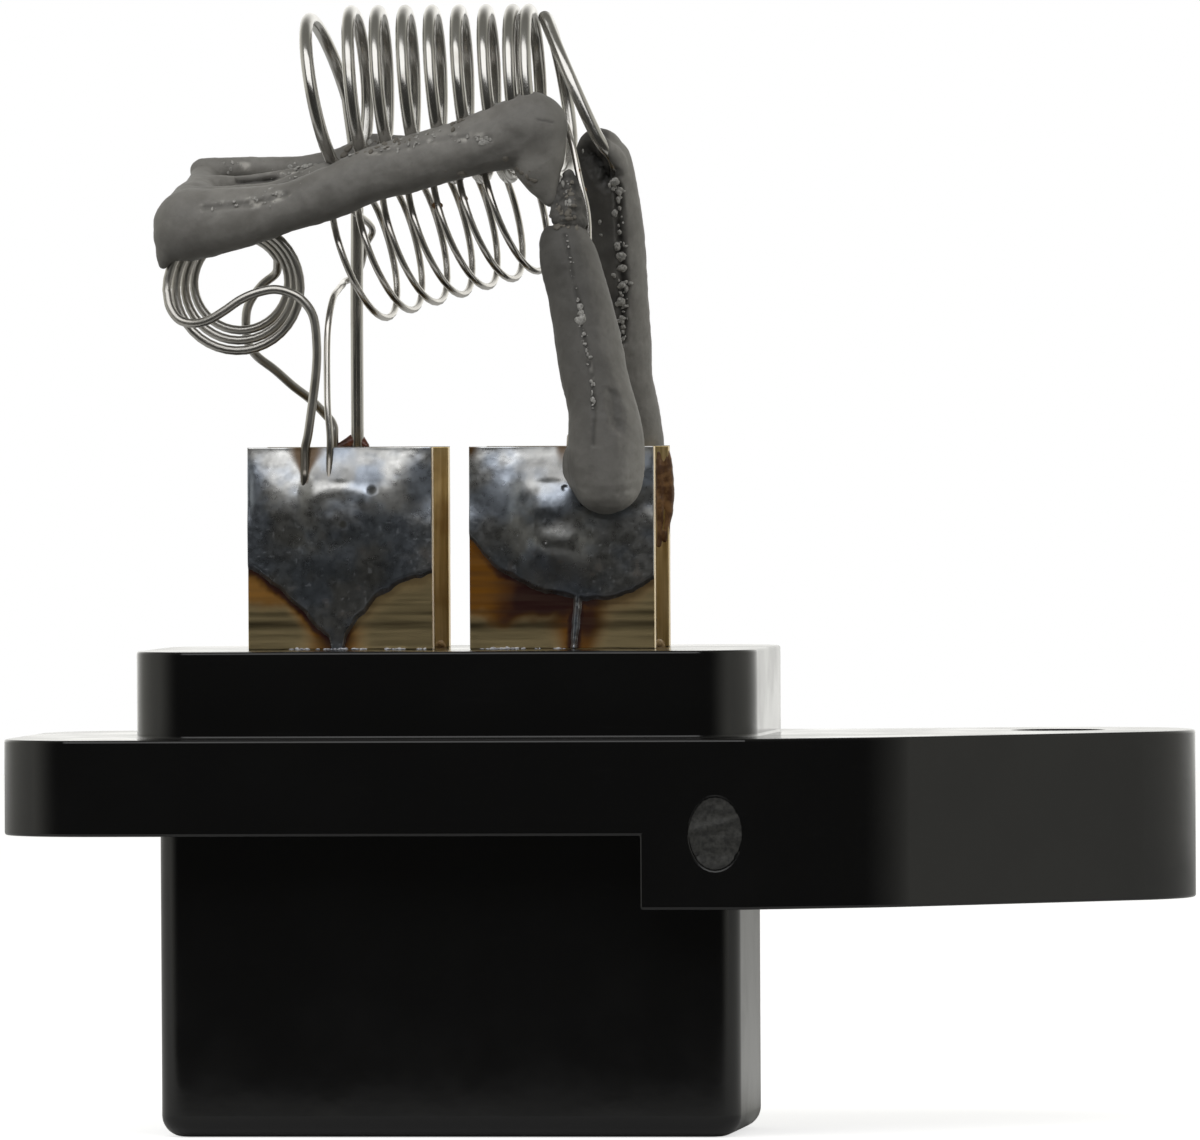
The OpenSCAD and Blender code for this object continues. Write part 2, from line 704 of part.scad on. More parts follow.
housing();
terminal_front_left();
terminal_front_right();
terminal_rear_left();
terminal_rear_right();
solder_front_left();
solder_front_right();
solder_rear_left();
solder_rear_right();
heavy_coil();
fine_coil();
small_coil();
coil_cement();
front_post_cement();
rear_post_cement();
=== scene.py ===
"""Looks of the blower motor resistor: glossy moulded base, soldered brass plates, wire coils in cement."""

import itertools
import random
from math import cos, pi, radians, sin, tan

import bpy
import numpy as np
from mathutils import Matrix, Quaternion, Vector
from mathutils.bvhtree import BVHTree


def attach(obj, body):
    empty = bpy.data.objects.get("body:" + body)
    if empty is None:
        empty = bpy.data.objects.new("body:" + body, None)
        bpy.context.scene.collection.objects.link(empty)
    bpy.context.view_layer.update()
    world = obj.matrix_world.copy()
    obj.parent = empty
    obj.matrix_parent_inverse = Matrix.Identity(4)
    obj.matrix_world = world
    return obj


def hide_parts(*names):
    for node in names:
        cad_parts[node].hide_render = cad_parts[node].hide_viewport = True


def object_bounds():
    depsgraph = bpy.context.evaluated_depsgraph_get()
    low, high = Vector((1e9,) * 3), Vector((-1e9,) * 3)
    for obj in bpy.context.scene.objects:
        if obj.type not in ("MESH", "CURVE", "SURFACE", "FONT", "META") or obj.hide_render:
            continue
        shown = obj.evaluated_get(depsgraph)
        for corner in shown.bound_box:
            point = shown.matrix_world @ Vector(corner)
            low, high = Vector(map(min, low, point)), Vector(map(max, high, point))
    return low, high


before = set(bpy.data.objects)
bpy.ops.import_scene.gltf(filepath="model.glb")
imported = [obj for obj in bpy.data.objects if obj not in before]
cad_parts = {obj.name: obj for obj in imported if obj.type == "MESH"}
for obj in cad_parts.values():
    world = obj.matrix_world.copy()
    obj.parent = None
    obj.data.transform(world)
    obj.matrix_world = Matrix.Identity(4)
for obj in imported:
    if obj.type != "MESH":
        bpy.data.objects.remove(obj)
cad_box = [list(map(float, corner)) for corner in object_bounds()]
scene = bpy.context.scene
scene.view_settings.view_transform = "Standard"
MM = 0.001

# Places and sizes shared by the pieces, in millimetres
PLATE_TOP = 15.87
BOSS_TOP = 4.77
PLATE_HALF = 5.1
PLATE_DEEP = 11.1
FACE_Y = 4.2
LEFT_X, RIGHT_X = -6.13, 6.13
LEFT, RIGHT = (np.array((x, 0, PLATE_TOP)) for x in (LEFT_X, RIGHT_X))
FOOT = -4.6
HEAVY_WIRE, FINE_WIRE, SMALL_WIRE = 0.72, 0.38, 0.5
PLACES = ("front_left", "front_right", "rear_left", "rear_right")

# The photograph's frame and its camera
PICTURE_WIDE, PICTURE_HIGH = 1200, 1140
PIXEL = 0.0549
CAMERA_PLACE = Vector((101.0, -844.5, 18.8))
CAMERA_TARGET = Vector((8.93, -10.5, 9.17))
CAMERA_PIXELS = 15420
CAMERA_ROLL = radians(-0.3)
SENSOR = 36


# Camera: the photograph's long lens, a little right of square on and almost level

def camera_turn():
    turn = (CAMERA_TARGET - CAMERA_PLACE).to_track_quat("-Z", "Y")
    return turn @ Quaternion((0, 0, 1), CAMERA_ROLL)


def adjust(thing, **settings):
    for key, value in settings.items():
        setattr(thing, key, value)
    return thing


def add_object(name, data, **settings):
    obj = bpy.data.objects.new(name, data)
    scene.collection.objects.link(obj)
    return adjust(obj, **settings)


def point_camera():
    data = adjust(bpy.data.cameras.new("camera"), sensor_fit="HORIZONTAL", sensor_width=SENSOR,
                  lens=SENSOR * CAMERA_PIXELS / PICTURE_WIDE, clip_start=0.05, clip_end=20)
    scene.camera = add_object("camera", data, location=CAMERA_PLACE * MM, rotation_mode="QUATERNION",
                              rotation_quaternion=camera_turn())


def sight(u, v):
    """Direction from the camera through a point of the picture."""
    right, up = u - PICTURE_WIDE / 2, PICTURE_HIGH / 2 - v
    return (camera_turn() @ Vector((right / CAMERA_PIXELS, up / CAMERA_PIXELS, -1))).normalized()


def at_depth(u, v, y):
    """The point in millimetres that lies at y behind a point of the picture."""
    d = sight(u, v)
    return np.array(CAMERA_PLACE + d * ((y - CAMERA_PLACE.y) / d.y))


def pictured(points):
    """Where points in millimetres lie in the picture."""
    turn = np.array(camera_turn().to_matrix())
    q = (np.asarray(points) - np.array(CAMERA_PLACE)) @ turn
    right, down = -CAMERA_PIXELS * q[:, 0] / q[:, 2], CAMERA_PIXELS * q[:, 1] / q[:, 2]
    return PICTURE_WIDE / 2 + right, PICTURE_HIGH / 2 + down


# Small tools

def vec(*p):
    return np.array(p, float)


def ease(t):
    c = np.clip(t, 0, 1)
    return c * c * (3 - 2 * c)


def along(x, row):
    """Value at x of a line drawn through points of the form (x, value)."""
    return np.interp(x, *zip(*row))


def spline(points, steps):
    p = [np.array(q, float) for q in points]
    p = [2 * p[0] - p[1]] + p + [2 * p[-1] - p[-2]]
    out = []
    for a, b, c, d in zip(p, p[1:], p[2:], p[3:]):
        for k in range(steps):
            t = k / steps
            out.append(0.5 * (2 * b + (c - a) * t + (2 * a - 5 * b + 4 * c - d) * t * t
                              + (3 * b - a - 3 * c + d) * t ** 3))
    return out + [p[-2]]


def value_noise(p, seed):
    i = np.floor(p).astype(np.int64)
    f = ease(p - i)
    total = np.zeros(len(p))
    for corner in itertools.product((0, 1), repeat=3):
        h = seed * 144665 + (i + corner) @ np.array([374761393, 668265263, 1440662683])
        h = (h ^ (h >> 13)) * 1274126177
        h = ((h ^ (h >> 16)) & 0xffff) / 65535
        total += h * np.prod(np.where(corner, f, 1 - f), axis=1)
    return 2 * total - 1


def fuzz(p, size, seed=0, octaves=3):
    """Soft noise between about -1 and 1 whose largest lumps measure size."""
    p = np.asarray(p, float) / size
    return sum(value_noise(p * 2 ** k, seed + 17 * k) * 0.55 ** k for k in range(octaves)) / 1.6


def fan(sides):
    """Triangles from point 0 to the ring after it."""
    return [(0, 1 + k, 1 + (k + 1) % sides) for k in range(sides)]


def band(a, b, sides):
    """Quads between two rings of points, which start at a and b."""
    return [(a + k, b + k, b + (k + 1) % sides, a + (k + 1) % sides) for k in range(sides)]


def tube_mesh(path, radius, sides):
    path = np.array(path)
    n = len(path)
    radius = np.broadcast_to(radius, n)
    t = np.gradient(path, axis=0)
    t /= np.linalg.norm(t, axis=1)[:, None]
    side = np.zeros_like(path)
    s = vec(0.31, 0.87, 0.38)
    for i in range(n):
        s = s - t[i] * (s @ t[i])
        s /= np.linalg.norm(s)
        side[i] = s
    up = np.cross(t, side)
    a = np.linspace(0, 2 * pi, sides, endpoint=False)
    ring = np.cos(a)[None, :, None] * side[:, None] + np.sin(a)[None, :, None] * up[:, None]
    verts = (path[:, None] + radius[:, None, None] * ring).reshape(-1, 3)
    faces = []
    for i in range(n - 1):
        a, b = i * sides, (i + 1) * sides
        faces += [(a + k, a + (k + 1) % sides, b + (k + 1) % sides, b + k) for k in range(sides)]
    faces += [tuple(range(sides))[::-1], tuple(range((n - 1) * sides, n * sides))]
    return verts, faces


def ball_mesh(centre, radius, rings, sides):
    v = [(0, 0, 1)]
    for i in range(1, rings):
        b = pi * i / rings
        for a in (2 * pi * k / sides for k in range(sides)):
            v.append((sin(b) * cos(a), sin(b) * sin(a), cos(b)))
    v.append((0, 0, -1))
    f = fan(sides)
    for i in range(rings - 2):
        f += band(1 + i * sides, 1 + (i + 1) * sides, sides)
    a = 1 + (rings - 2) * sides
    f += [(len(v) - 1, a + (k + 1) % sides, a + k) for k in range(sides)]
    return np.array(centre) + np.array(v) * radius, f


def join(parts):
    verts, faces, at = [], [], 0
    for v, f in parts:
        verts.append(v)
        faces += [tuple(k + at for k in q) for q in f]
        at += len(v)
    return np.concatenate(verts), faces


def piece(name, verts, faces, mat, nodes=(), tint=None):
    """One closed piece from coordinates in millimetres, with an optional colour at each vertex."""
    mesh = bpy.data.meshes.new(name)
    mesh.from_pydata((np.asarray(verts) * MM).tolist(), [], faces)
    mesh.polygons.foreach_set("use_smooth", [True] * len(mesh.polygons))
    if tint is not None:
        colour = mesh.color_attributes.new("tint", "FLOAT_COLOR", "POINT")
        colour.data.foreach_set("color", np.asarray(tint, float).ravel())
    mesh.materials.append(mat)
    mesh.update()
    obj = add_object(name, mesh)
    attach(obj, "root")
    if nodes:
        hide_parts(*nodes)


def dim(tint, share):
    """Multiplies the colours by a share at each point."""
    tint[..., :3] *= share[..., None]


def toward(tint, colour, amount):
    """Moves the colours towards one colour by an amount at each point."""
    tint[..., :3] += (np.array(colour) - tint[..., :3]) * amount[..., None]


# Materials

def feed(tree, socket, value):
    """Sets an input to a plain value, or links it to an output or to a node's first output."""
    if isinstance(value, bpy.types.Node):
        value = value.outputs[0]
    if isinstance(value, bpy.types.NodeSocket):
        tree.links.new(value, socket)
    else:
        socket.default_value = (*value, 1) if socket.type == "RGBA" else value


def add_node(tree, kind, inputs=(), **settings):
    """A new node, a shader's where its kind has no prefix; inputs go by order, or by name or number."""
    n = adjust(tree.nodes.new(kind if "Node" in kind else "ShaderNode" + kind), **settings)
    for key, value in inputs.items() if isinstance(inputs, dict) else enumerate(inputs):
        feed(tree, n.inputs[key], value)
    return n


def smooth_range(tree, *ends):
    """A soft step: the value, the range that it comes from and the range that it goes to, or 0 to 1."""
    return add_node(tree, "MapRange", ends, interpolation_type="SMOOTHSTEP")


class Shader:
    """A material's node tree with the few nodes that the surfaces here are made of."""

    def __init__(self, name):
        self.mat = bpy.data.materials.new(name)
        self.mat.use_nodes = True
        self.tree = self.mat.node_tree
        self.bsdf = self.tree.nodes["Principled BSDF"]
        self.where = add_node(self.tree, "TexCoord").outputs["Object"]

    def set(self, **inputs):
        for key, value in inputs.items():
            feed(self.tree, self.bsdf.inputs[key.replace("_", " ")], value)

    def noise(self, size, detail=4, rough=0.55, scale=(1, 1, 1)):
        """Noise from 0 to 1 with lumps of the given size in millimetres."""
        where = add_node(self.tree, "Mapping", {"Vector": self.where, "Scale": scale})
        look = {"Vector": where, "Scale": 1 / (size * MM), "Detail": detail, "Roughness": rough}
        return add_node(self.tree, "TexNoise", look)

    def ramp(self, *ends):
        return smooth_range(self.tree, *ends)

    def mix(self, fac, a, b, blend="MIX"):
        inputs = {0: fac, 6: a, 7: b}
        return add_node(self.tree, "Mix", inputs, data_type="RGBA", blend_type=blend).outputs[2]

    def times(self, a, b):
        return add_node(self.tree, "Math", (a, b), operation="MULTIPLY")

    def tint(self):
        return add_node(self.tree, "VertexColor", layer_name="tint").outputs

    def finish(self, height, depth, strength):
        """Adds the bumps, with their depth in millimetres, and hands over the material."""
        look = {"Height": height, "Strength": strength, "Distance": depth * MM}
        self.set(Normal=add_node(self.tree, "Bump", look))
        return self.mat


def make_plastic():
    s = Shader("gloss_plastic")
    dust = s.ramp(s.noise(0.5, 6, 0.75), 0.6, 0.8)
    base = s.mix(s.times(dust, 0.4), (0.0045, 0.0045, 0.0047), (0.022, 0.022, 0.022))
    scratch = s.ramp(s.noise(0.3, 5, 0.7, (0.05, 0.05, 1)), 0.62, 0.76)
    s.set(Base_Color=s.mix(s.times(scratch, 0.35), base, (0.02, 0.02, 0.021)))
    s.set(Roughness=s.ramp(s.noise(7, 3), 0.3, 0.7, 0.1, 0.2), Specular_IOR_Level=0.5)
    return s.finish(s.noise(2.2, 5, 0.5), 0.012, 0.6)


def make_brass():
    s = Shader("brass")
    grain = s.noise(0.25, 4, 0.6, (1, 1, 0.04))
    stain = s.ramp(s.noise(3.5, 3), 0.5, 0.8)
    base = s.mix(s.ramp(grain, 0.3, 0.7), (0.52, 0.4, 0.19), (0.74, 0.58, 0.31))
    s.set(Base_Color=s.mix(s.times(stain, 0.6), base, (0.3, 0.17, 0.06)), Metallic=1.0)
    s.set(Roughness=s.ramp(grain, 0.3, 0.7, 0.3, 0.46))
    return s.finish(grain, 0.008, 0.5)


def make_skin():
    """Tarnish and flux stain on the plates' faces; the tint's alpha tells flux from bare brass."""
    s = Shader("stained_brass")
    t = s.tint()
    grain = s.noise(0.3, 4, 0.6, (0.05, 0.05, 1))
    s.set(Base_Color=s.mix(s.ramp(grain, 0.3, 0.75, 0.0, 0.16), t["Color"], (0.12, 0.09, 0.05)))
    s.set(Metallic=t["Alpha"], Roughness=s.ramp(grain, 0.3, 0.7, 0.28, 0.4), Specular_IOR_Level=0.25)
    return s.finish(grain, 0.006, 0.5)


def make_solder():
    s = Shader("tin_solder")
    t = s.tint()
    mottle = s.ramp(s.noise(0.7, 4, 0.6), 0.5, 0.8, 0.0, 0.25)
    s.set(Base_Color=s.mix(mottle, t["Color"], (0.25, 0.255, 0.27)))
    s.set(Metallic=t["Alpha"], Roughness=s.ramp(s.noise(0.5, 3), 0.35, 0.65, 0.27, 0.36))
    return s.finish(s.noise(0.35, 4, 0.6), 0.008, 0.5)


def make_wire(name, base, dark, rough):
    s = Shader(name)
    tarnish = s.ramp(s.noise(2.6, 3, 0.5), 0.52, 0.8)
    clean = s.mix(s.times(tarnish, 0.5), base, dark)
    s.set(Base_Color=s.mix(s.tint()["Alpha"], (0.1, 0.085, 0.065), clean), Metallic=1.0)
    s.set(Roughness=s.ramp(s.noise(1.2, 3), 0.35, 0.65, rough, rough + 0.07))
    return s.finish(s.noise(0.8, 2), 0.002, 0.3)


def make_cement():
    s = Shader("cement")
    body = s.noise(1.3, 6, 0.6)
    fine = s.noise(0.16, 4, 0.65)
    tone = s.mix(s.ramp(body, 0.3, 0.7), (0.15, 0.144, 0.133), (0.205, 0.198, 0.185))
    tone = s.mix(s.ramp(fine, 0.58, 0.78, 0.0, 0.4), tone, (0.1, 0.095, 0.087))
    s.set(Base_Color=s.mix(1, tone, s.tint()["Color"], "MULTIPLY"))
    s.set(Roughness=s.ramp(body, 0.3, 0.7, 0.5, 0.66), Specular_IOR_Level=0.45)
    return s.finish(fine, 0.02, 0.6)


def make_plain(name, base, rough, dark, size=0.4, sheen=0.5):
    s = Shader(name)
    s.set(Base_Color=s.mix(s.ramp(s.noise(size, 5, 0.6), 0.35, 0.65), base, dark))
    s.set(Roughness=rough, Specular_IOR_Level=sheen)
    return s.finish(s.noise(size / 2, 4), 0.02, 0.5)


# Light: a wide softbox above the camera, a bright room at the sides and back, and a dark one in front

def softbox(name, centre, target, wide, high, radiance):
    data = adjust(bpy.data.lights.new(name, "AREA"), shape="RECTANGLE", size=wide, size_y=high,
                  energy=radiance * pi * wide * high)
    turn = (Vector(target) - Vector(centre)).to_track_quat("-Z", "Y")
    add_object(name, data, location=centre, rotation_mode="QUATERNION", rotation_quaternion=turn)


def empty_tree(owner):
    owner.use_nodes = True
    owner.node_tree.nodes.clear()
    return owner.node_tree


def looked_at(tree):
    """One where a ray comes straight or through something clear from the camera, else nought."""
    path = add_node(tree, "LightPath").outputs
    rays = (path["Is Camera Ray"], path["Is Transmission Ray"])
    return add_node(tree, "Math", rays, operation="ADD")


def light_room():
    scene.world = bpy.data.worlds.new("studio")
    tree = empty_tree(scene.world)
    coord = add_node(tree, "TexCoord").outputs["Generated"]
    ray = add_node(tree, "SeparateXYZ", (coord,)).outputs
    level = smooth_range(tree, ray["Y"], -0.68, -0.08, 0.045, 0.7)
    ceiling = smooth_range(tree, ray["Z"], 0.25, 0.9, 1.0, 0.3)
    sides = add_node(tree, "Math", (level, ceiling), operation="MULTIPLY")
    back = smooth_range(tree, ray["Y"], 0.5, 1.0, 0.0, 0.6)
    room = add_node(tree, "Background", ((1, 0.99, 0.9), sides))
    sweep = add_node(tree, "Background", ((0.97, 0.97, 1), back))
    studio = add_node(tree, "AddShader", (room, sweep))
    white = add_node(tree, "Background", ((1, 1, 1),))
    mix = add_node(tree, "MixShader", (looked_at(tree), studio, white))
    add_node(tree, "OutputWorld", (mix,))
    softbox("key_softbox", (-0.04, -0.46, 0.49), (0, 0, 0.03), 0.95, 0.62, 1.7)


def lay_floor():
    """White paper just under the base, clear from below."""
    low = cad_box[0][2] - 0.00002
    half, near, far = 0.6, -0.045, 0.8
    mesh = bpy.data.meshes.new("floor")
    corners = [(-half, near, low), (half, near, low), (half, far, low), (-half, far, low)]
    mesh.from_pydata(corners, [], [(0, 1, 2, 3)])
    floor = add_object("floor", mesh)
    mat = bpy.data.materials.new("floor_paper")
    tree = empty_tree(mat)
    diffuse = add_node(tree, "BsdfDiffuse", ((0.8, 0.8, 0.8),))
    lift = add_node(tree, "Math", (looked_at(tree), 0.7), operation="MULTIPLY")
    glow = add_node(tree, "Emission", {"Strength": lift})
    both = add_node(tree, "AddShader", (diffuse, glow))
    clear = add_node(tree, "BsdfTransparent")
    below = add_node(tree, "NewGeometry").outputs["Backfacing"]
    mix = add_node(tree, "MixShader", (below, both, clear))
    add_node(tree, "OutputMaterial", (mix,))
    mesh.materials.append(mat)


# Moulded base and brass plates: the construction's own solids with softened edges

def geometry_group(name):
    """A geometry node group with its input node."""
    group = bpy.data.node_groups.new(name, "GeometryNodeTree")
    for way in ("INPUT", "OUTPUT"):
        group.interface.new_socket("Geometry", in_out=way, socket_type="NodeSocketGeometry")
    return group, add_node(group, "NodeGroupInput")


def soft_shading():
    """Node group that shades all faces smooth except across edges sharper than 9 degrees."""
    group, came = geometry_group("soft_shading")
    angle = add_node(group, "GeometryNodeInputMeshEdgeAngle").outputs["Unsigned Angle"]
    steep = add_node(group, "FunctionNodeCompare", (angle, radians(9)), operation="GREATER_THAN")
    look = {"Geometry": came, "Shade Smooth": True}
    smooth = add_node(group, "GeometryNodeSetShadeSmooth", look, domain="FACE")
    look = {"Geometry": smooth, "Selection": steep, "Shade Smooth": False}
    sharp = add_node(group, "GeometryNodeSetShadeSmooth", look, domain="EDGE")
    add_node(group, "NodeGroupOutput", (sharp,))
    return group


def marked_bend(x, y):
    """Node group that marks the upright edge at x and y, in millimetres, for a wide bevel."""
    group, came = geometry_group("marked_bend")
    position = add_node(group, "GeometryNodeInputPosition")
    place = add_node(group, "SeparateXYZ", (position,)).outputs
    near = [add_node(group, "Math", (place[k], value * MM, 0.2 * MM), operation="COMPARE")
            for k, value in enumerate((x, y))]
    both = add_node(group, "FunctionNodeBooleanMath", near)
    what = {"Geometry": came, "Selection": both, "Name": "bevel_weight_edge", "Value": 1}
    mark = add_node(group, "GeometryNodeStoreNamedAttribute", what, data_type="FLOAT", domain="EDGE")
    add_node(group, "NodeGroupOutput", (mark,))
    return group


def dress(node, mat, width, group, bend=None):
    """A material and softened edges for a CAD node, and one wide soft bend where it has one."""
    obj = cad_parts[node]
    obj.data.materials.clear()
    obj.data.materials.append(mat)

    def modify(name, kind, **settings):
        adjust(obj.modifiers.new(name, kind), **settings)

    modify("weld", "WELD", merge_threshold=0.001 * MM)
    modify("merge_flats", "DECIMATE", decimate_type="DISSOLVE", angle_limit=radians(0.5))
    if bend:
        modify("marked_bend", "NODES", node_group=marked_bend(*bend))
        modify("soft_bend", "BEVEL", width=1.5 * MM, segments=8, limit_method="WEIGHT")
    modify("soft_edges", "BEVEL", width=width * MM, segments=3, limit_method="ANGLE",
           angle_limit=radians(30), use_clamp_overlap=False)
    modify("soft_shading", "NODES", node_group=group)
    modify("even_normals", "WEIGHTED_NORMAL", keep_sharp=True)


def lay_gate():
    """Broken-off moulding gate on the base's front: a rough oval scar in its shallow recess."""
    x, y, z = 15.35, -12.5, -5.14
    wide, high, depth = 1.55, 2.08, 0.35
    rings, sides = 26, 60
    verts = [(x, y, z)]
    for i in range(1, rings + 1):
        r, back = min(i / (rings - 1), 1), depth if i == rings else 0
        for a in (2 * pi * k / sides for k in range(sides)):
            verts.append((x + wide * r * cos(a), y + back, z + high * r * sin(a)))
    faces = fan(sides)
    for i in range(rings - 1):
        faces += band(1 + i * sides, 1 + (i + 1) * sides, sides)
    faces.append(tuple(range(1 + (rings - 1) * sides, 1 + rings * sides))[::-1])
    verts = np.array(verts)
    across, up = verts[:, 0] - x, verts[:, 2] - z
    ridge = np.exp(-((up - 0.45 - 0.25 * across) / 0.22) ** 2)
    rough = 0.12 * fuzz(verts, 0.9, 5) + 0.06 * fuzz(verts, 0.3, 6) - 0.15 * ridge
    rim = np.hypot(across / wide, up / high)
    relief = 0.05 + (rough + 0.03) * ease((1.02 - rim) / 0.15) + 0.04 * ease((rim - 0.9) / 0.1)
    verts[:, 1] += np.where(verts[:, 1] < y + 0.1, relief, 0)
    scar = make_plain("gate_scar", (0.05, 0.05, 0.046), 0.6, (0.022, 0.022, 0.021), 0.25, 0.35)
    piece("gate_scar", verts, faces, scar)


# Wires: worked-out turns, with leads through given points

HEAVY_R, HEAVY_Z, HEAVY_LEAN = 4.6, PLATE_TOP + 19.45, 3
HEAVY_TURNS = 6
HEAVY_LAST = HEAVY_TURNS + 3


def heavy_at(t):
    """Middle of the heavy wire t turns after its first top: splayed, then even, then close turns."""
    mid, skew = LEFT_X + 0.25, radians(1)
    pitch, close, splay = 1.5, 0.88, 2.3
    if t < 0:
        x = mid - splay + 2 * ease(-t / 0.45)
    elif t < 1:
        x = mid - splay * (1 - ease(1.25 * t))
    else:
        x = mid + pitch * min(t - 1, HEAVY_TURNS) + close * max(t - 1 - HEAVY_TURNS, 0)
    y, z = -HEAVY_R * sin(2 * pi * t), HEAVY_R * cos(2 * pi * t)
    slant = tan(radians(HEAVY_LEAN + 7 * ease((t - HEAVY_LAST + 0.8) / 0.5)))
    dip = 0.4 * (ease(1 - abs(t) / 0.4) + ease(1 - abs(t - HEAVY_LAST) / 0.4))
    return vec(x + (HEAVY_R - z) * slant + y * sin(skew), y * cos(skew) - x * tan(skew), HEAVY_Z + z - dip)


def wire_path(lead_in, lead_out, at, t0, t1, steps, smooth):
    """A coil of worked-out turns between two leads."""
    coil = [at(t0 + i / steps) for i in range(round((t1 - t0) * steps))]
    return spline(lead_in + [at(t0)], smooth)[:-1] + coil + spline([at(t1)] + lead_out, smooth)


def heavy_path():
    rear, foot, t0 = FACE_Y + HEAVY_WIRE / 2, LEFT_X - 0.1, -0.25
    start, end = heavy_at(t0), heavy_at(HEAVY_LAST)
    lead_in = [(foot, rear, PLATE_TOP + z) for z in (FOOT, 0.6, 8)] + [(foot, start[1], start[2] - 4.3)]
    inside = [(2.69, -1.9, 15.7), (2.6, 0, 13.7), (2.45, 2.4, 9.1), (2.3, 3.7, 5.3), (1.5, rear, 1.9),
              (0.8, rear, -0.2), (0.8, rear, FOOT)]
    lead_out = [end + vec(1.5, -2.2, -3.1), end + vec(3.1, -2.6, -6.55)] + [RIGHT + q for q in inside]
    return wire_path(lead_in, lead_out, heavy_at, t0, HEAVY_LAST, 48, 12)


def fine_path():
    r, zc = 3.6, PLATE_TOP + 10.6
    pitch, tilt, skew = 1.4295, radians(16.3), radians(9)
    first = LEFT_X - 0.5 + r * sin(tilt) + 2 * HEAVY_R * tan(radians(HEAVY_LEAN))

    def at(t):
        y, z, s = -r * sin(2 * pi * t), r * cos(2 * pi * t), pitch * (t - 0.5)
        return vec(first + s - z * sin(tilt) + y * sin(skew), 0.9 - s * tan(skew) + y * cos(skew),
                   zc + s * tan(tilt) + z * cos(tilt))

    front = -FACE_Y - FINE_WIRE / 2
    foot = [(-0.5, front - bulge, z) for bulge, z in
            ((0, FOOT), (0.4, -2.6), (0.55, -2), (0.38, -1.3), (0.16, -0.6), (0, 0.6))]
    rise = [(-0.66, -4.1, 2.6), (-0.77, -3.1, 6.2), (-0.68, -1.6, 8.1), (-0.6, 0.6, 8.75), (-0.66, 2.8, 9),
            (-0.8, 4.2, 9.15), (-0.45, 5.2, 9.4), (0, 5.5, 10), (0.3, 5.5, 11.2), (0.7, 5, 12.2)]
    gap = (heavy_at(6.57) + heavy_at(7.57)) / 2 + vec(0, 0, 0.1)
    end = vec(heavy_at(HEAVY_LAST)[0], 0, HEAVY_Z)
    out = [(-0.35, 0.8, -2.35), (1.1, -1.6, -1.55), (1.79, -3.4, -2.65)]
    fall = [(1.11, -4.2, 14.6), (1.58, -4.5, 12.2), (1.55, -4.9, 8), (1.9, -5, 3.9), (1.6, -4.8, 1.8),
            (0.7, -4.5, 0.7), (0.5, front, 0), (0.5, front, FOOT)]
    lead_out = [gap] + [end + q for q in out] + [RIGHT + q for q in fall]
    return wire_path([LEFT + q for q in foot + rise], lead_out, at, -0.08, 6.8, 36, 12)


def small_path():
    def at(t):
        near = LEFT + vec(-5.83, -3.5, 8.73) + t * vec(-0.071, 1.199, 0.156)
        return near + (3.79 - 0.412 * t) * vec(-cos(2 * pi * t), 0, sin(2 * pi * t))

    front, rear = -FACE_Y - SMALL_WIRE / 2, FACE_Y + SMALL_WIRE / 2
    rise = [(-1.85, front - bulge, z) for bulge, z in ((0, FOOT), (0.22, -1.9), (0.14, -1.2), (0, 0))]
    rise += [(-1.65, -4.5, 1), (-1.22, -4.6, 4.17), (-1.17, -4.7, 5.92), (-1.35, -4.75, 7.24),
             (-1.89, -4.8, 8.07), (-2.6, -4.85, 8.51), (-3.48, -4.9, 8.71), (-4.47, -4.95, 8.52),
             (-5.36, -4.95, 8.14), (-6.26, -4.9, 7.54), (-7.17, -4.75, 7.03), (-8.03, -4.5, 6.87),
             (-8.85, -4.2, 7.09), (-9.4, -3.85, 7.79)]
    fall = [(-4.17, 1.2, 9.66), (-4.99, 1.5, 9), (-5.7, 1.7, 8.07), (-5.95, 1.9, 7.19), (-5.89, 2.2, 5.86),
            (-5.43, 2.5, 5.08), (-4.48, 2.9, 4.3), (-3.54, 3.4, 3.41), (-2.66, 3.9, 2.68), (-1.94, 4.35, 1.9),
            (-1.46, 4.5, 1.23), (-1.4, rear, 0.2), (-1.4, rear, FOOT)]
    return wire_path([LEFT + q for q in rise], [LEFT + q for q in fall], at, 0, 3.42, 40, 8)


def lay_wires():
    steel = make_wire("heavy_wire", (0.56, 0.548, 0.525), (0.34, 0.31, 0.265), 0.18)
    nickel = make_wire("fine_wire", (0.62, 0.6, 0.57), (0.42, 0.36, 0.28), 0.18)
    dull = make_wire("small_wire", (0.5, 0.485, 0.455), (0.33, 0.29, 0.23), 0.29)
    for name, path, d, sides, mat in (("heavy_wire", heavy_path(), HEAVY_WIRE, 20, steel),
                                      ("fine_wire", fine_path(), FINE_WIRE, 14, nickel),
                                      ("small_wire", small_path(), SMALL_WIRE, 16, dull)):
        path = np.array(path)
        wobble = 1 + 0.01 * fuzz(path, 2.5, 3, 1)
        verts, faces = tube_mesh(path, d / 2 * wobble, sides)
        tint = np.ones((len(verts), 4))
        tint[:, 3] = 0.25 + 0.75 * ease((verts[:, 2] - PLATE_TOP + 0.4) / 1.6)
        piece(name, verts, faces, mat, [name.replace("wire", "coil")], tint)


# Cement: beads fused into one skin, relaxed, roughened and carved

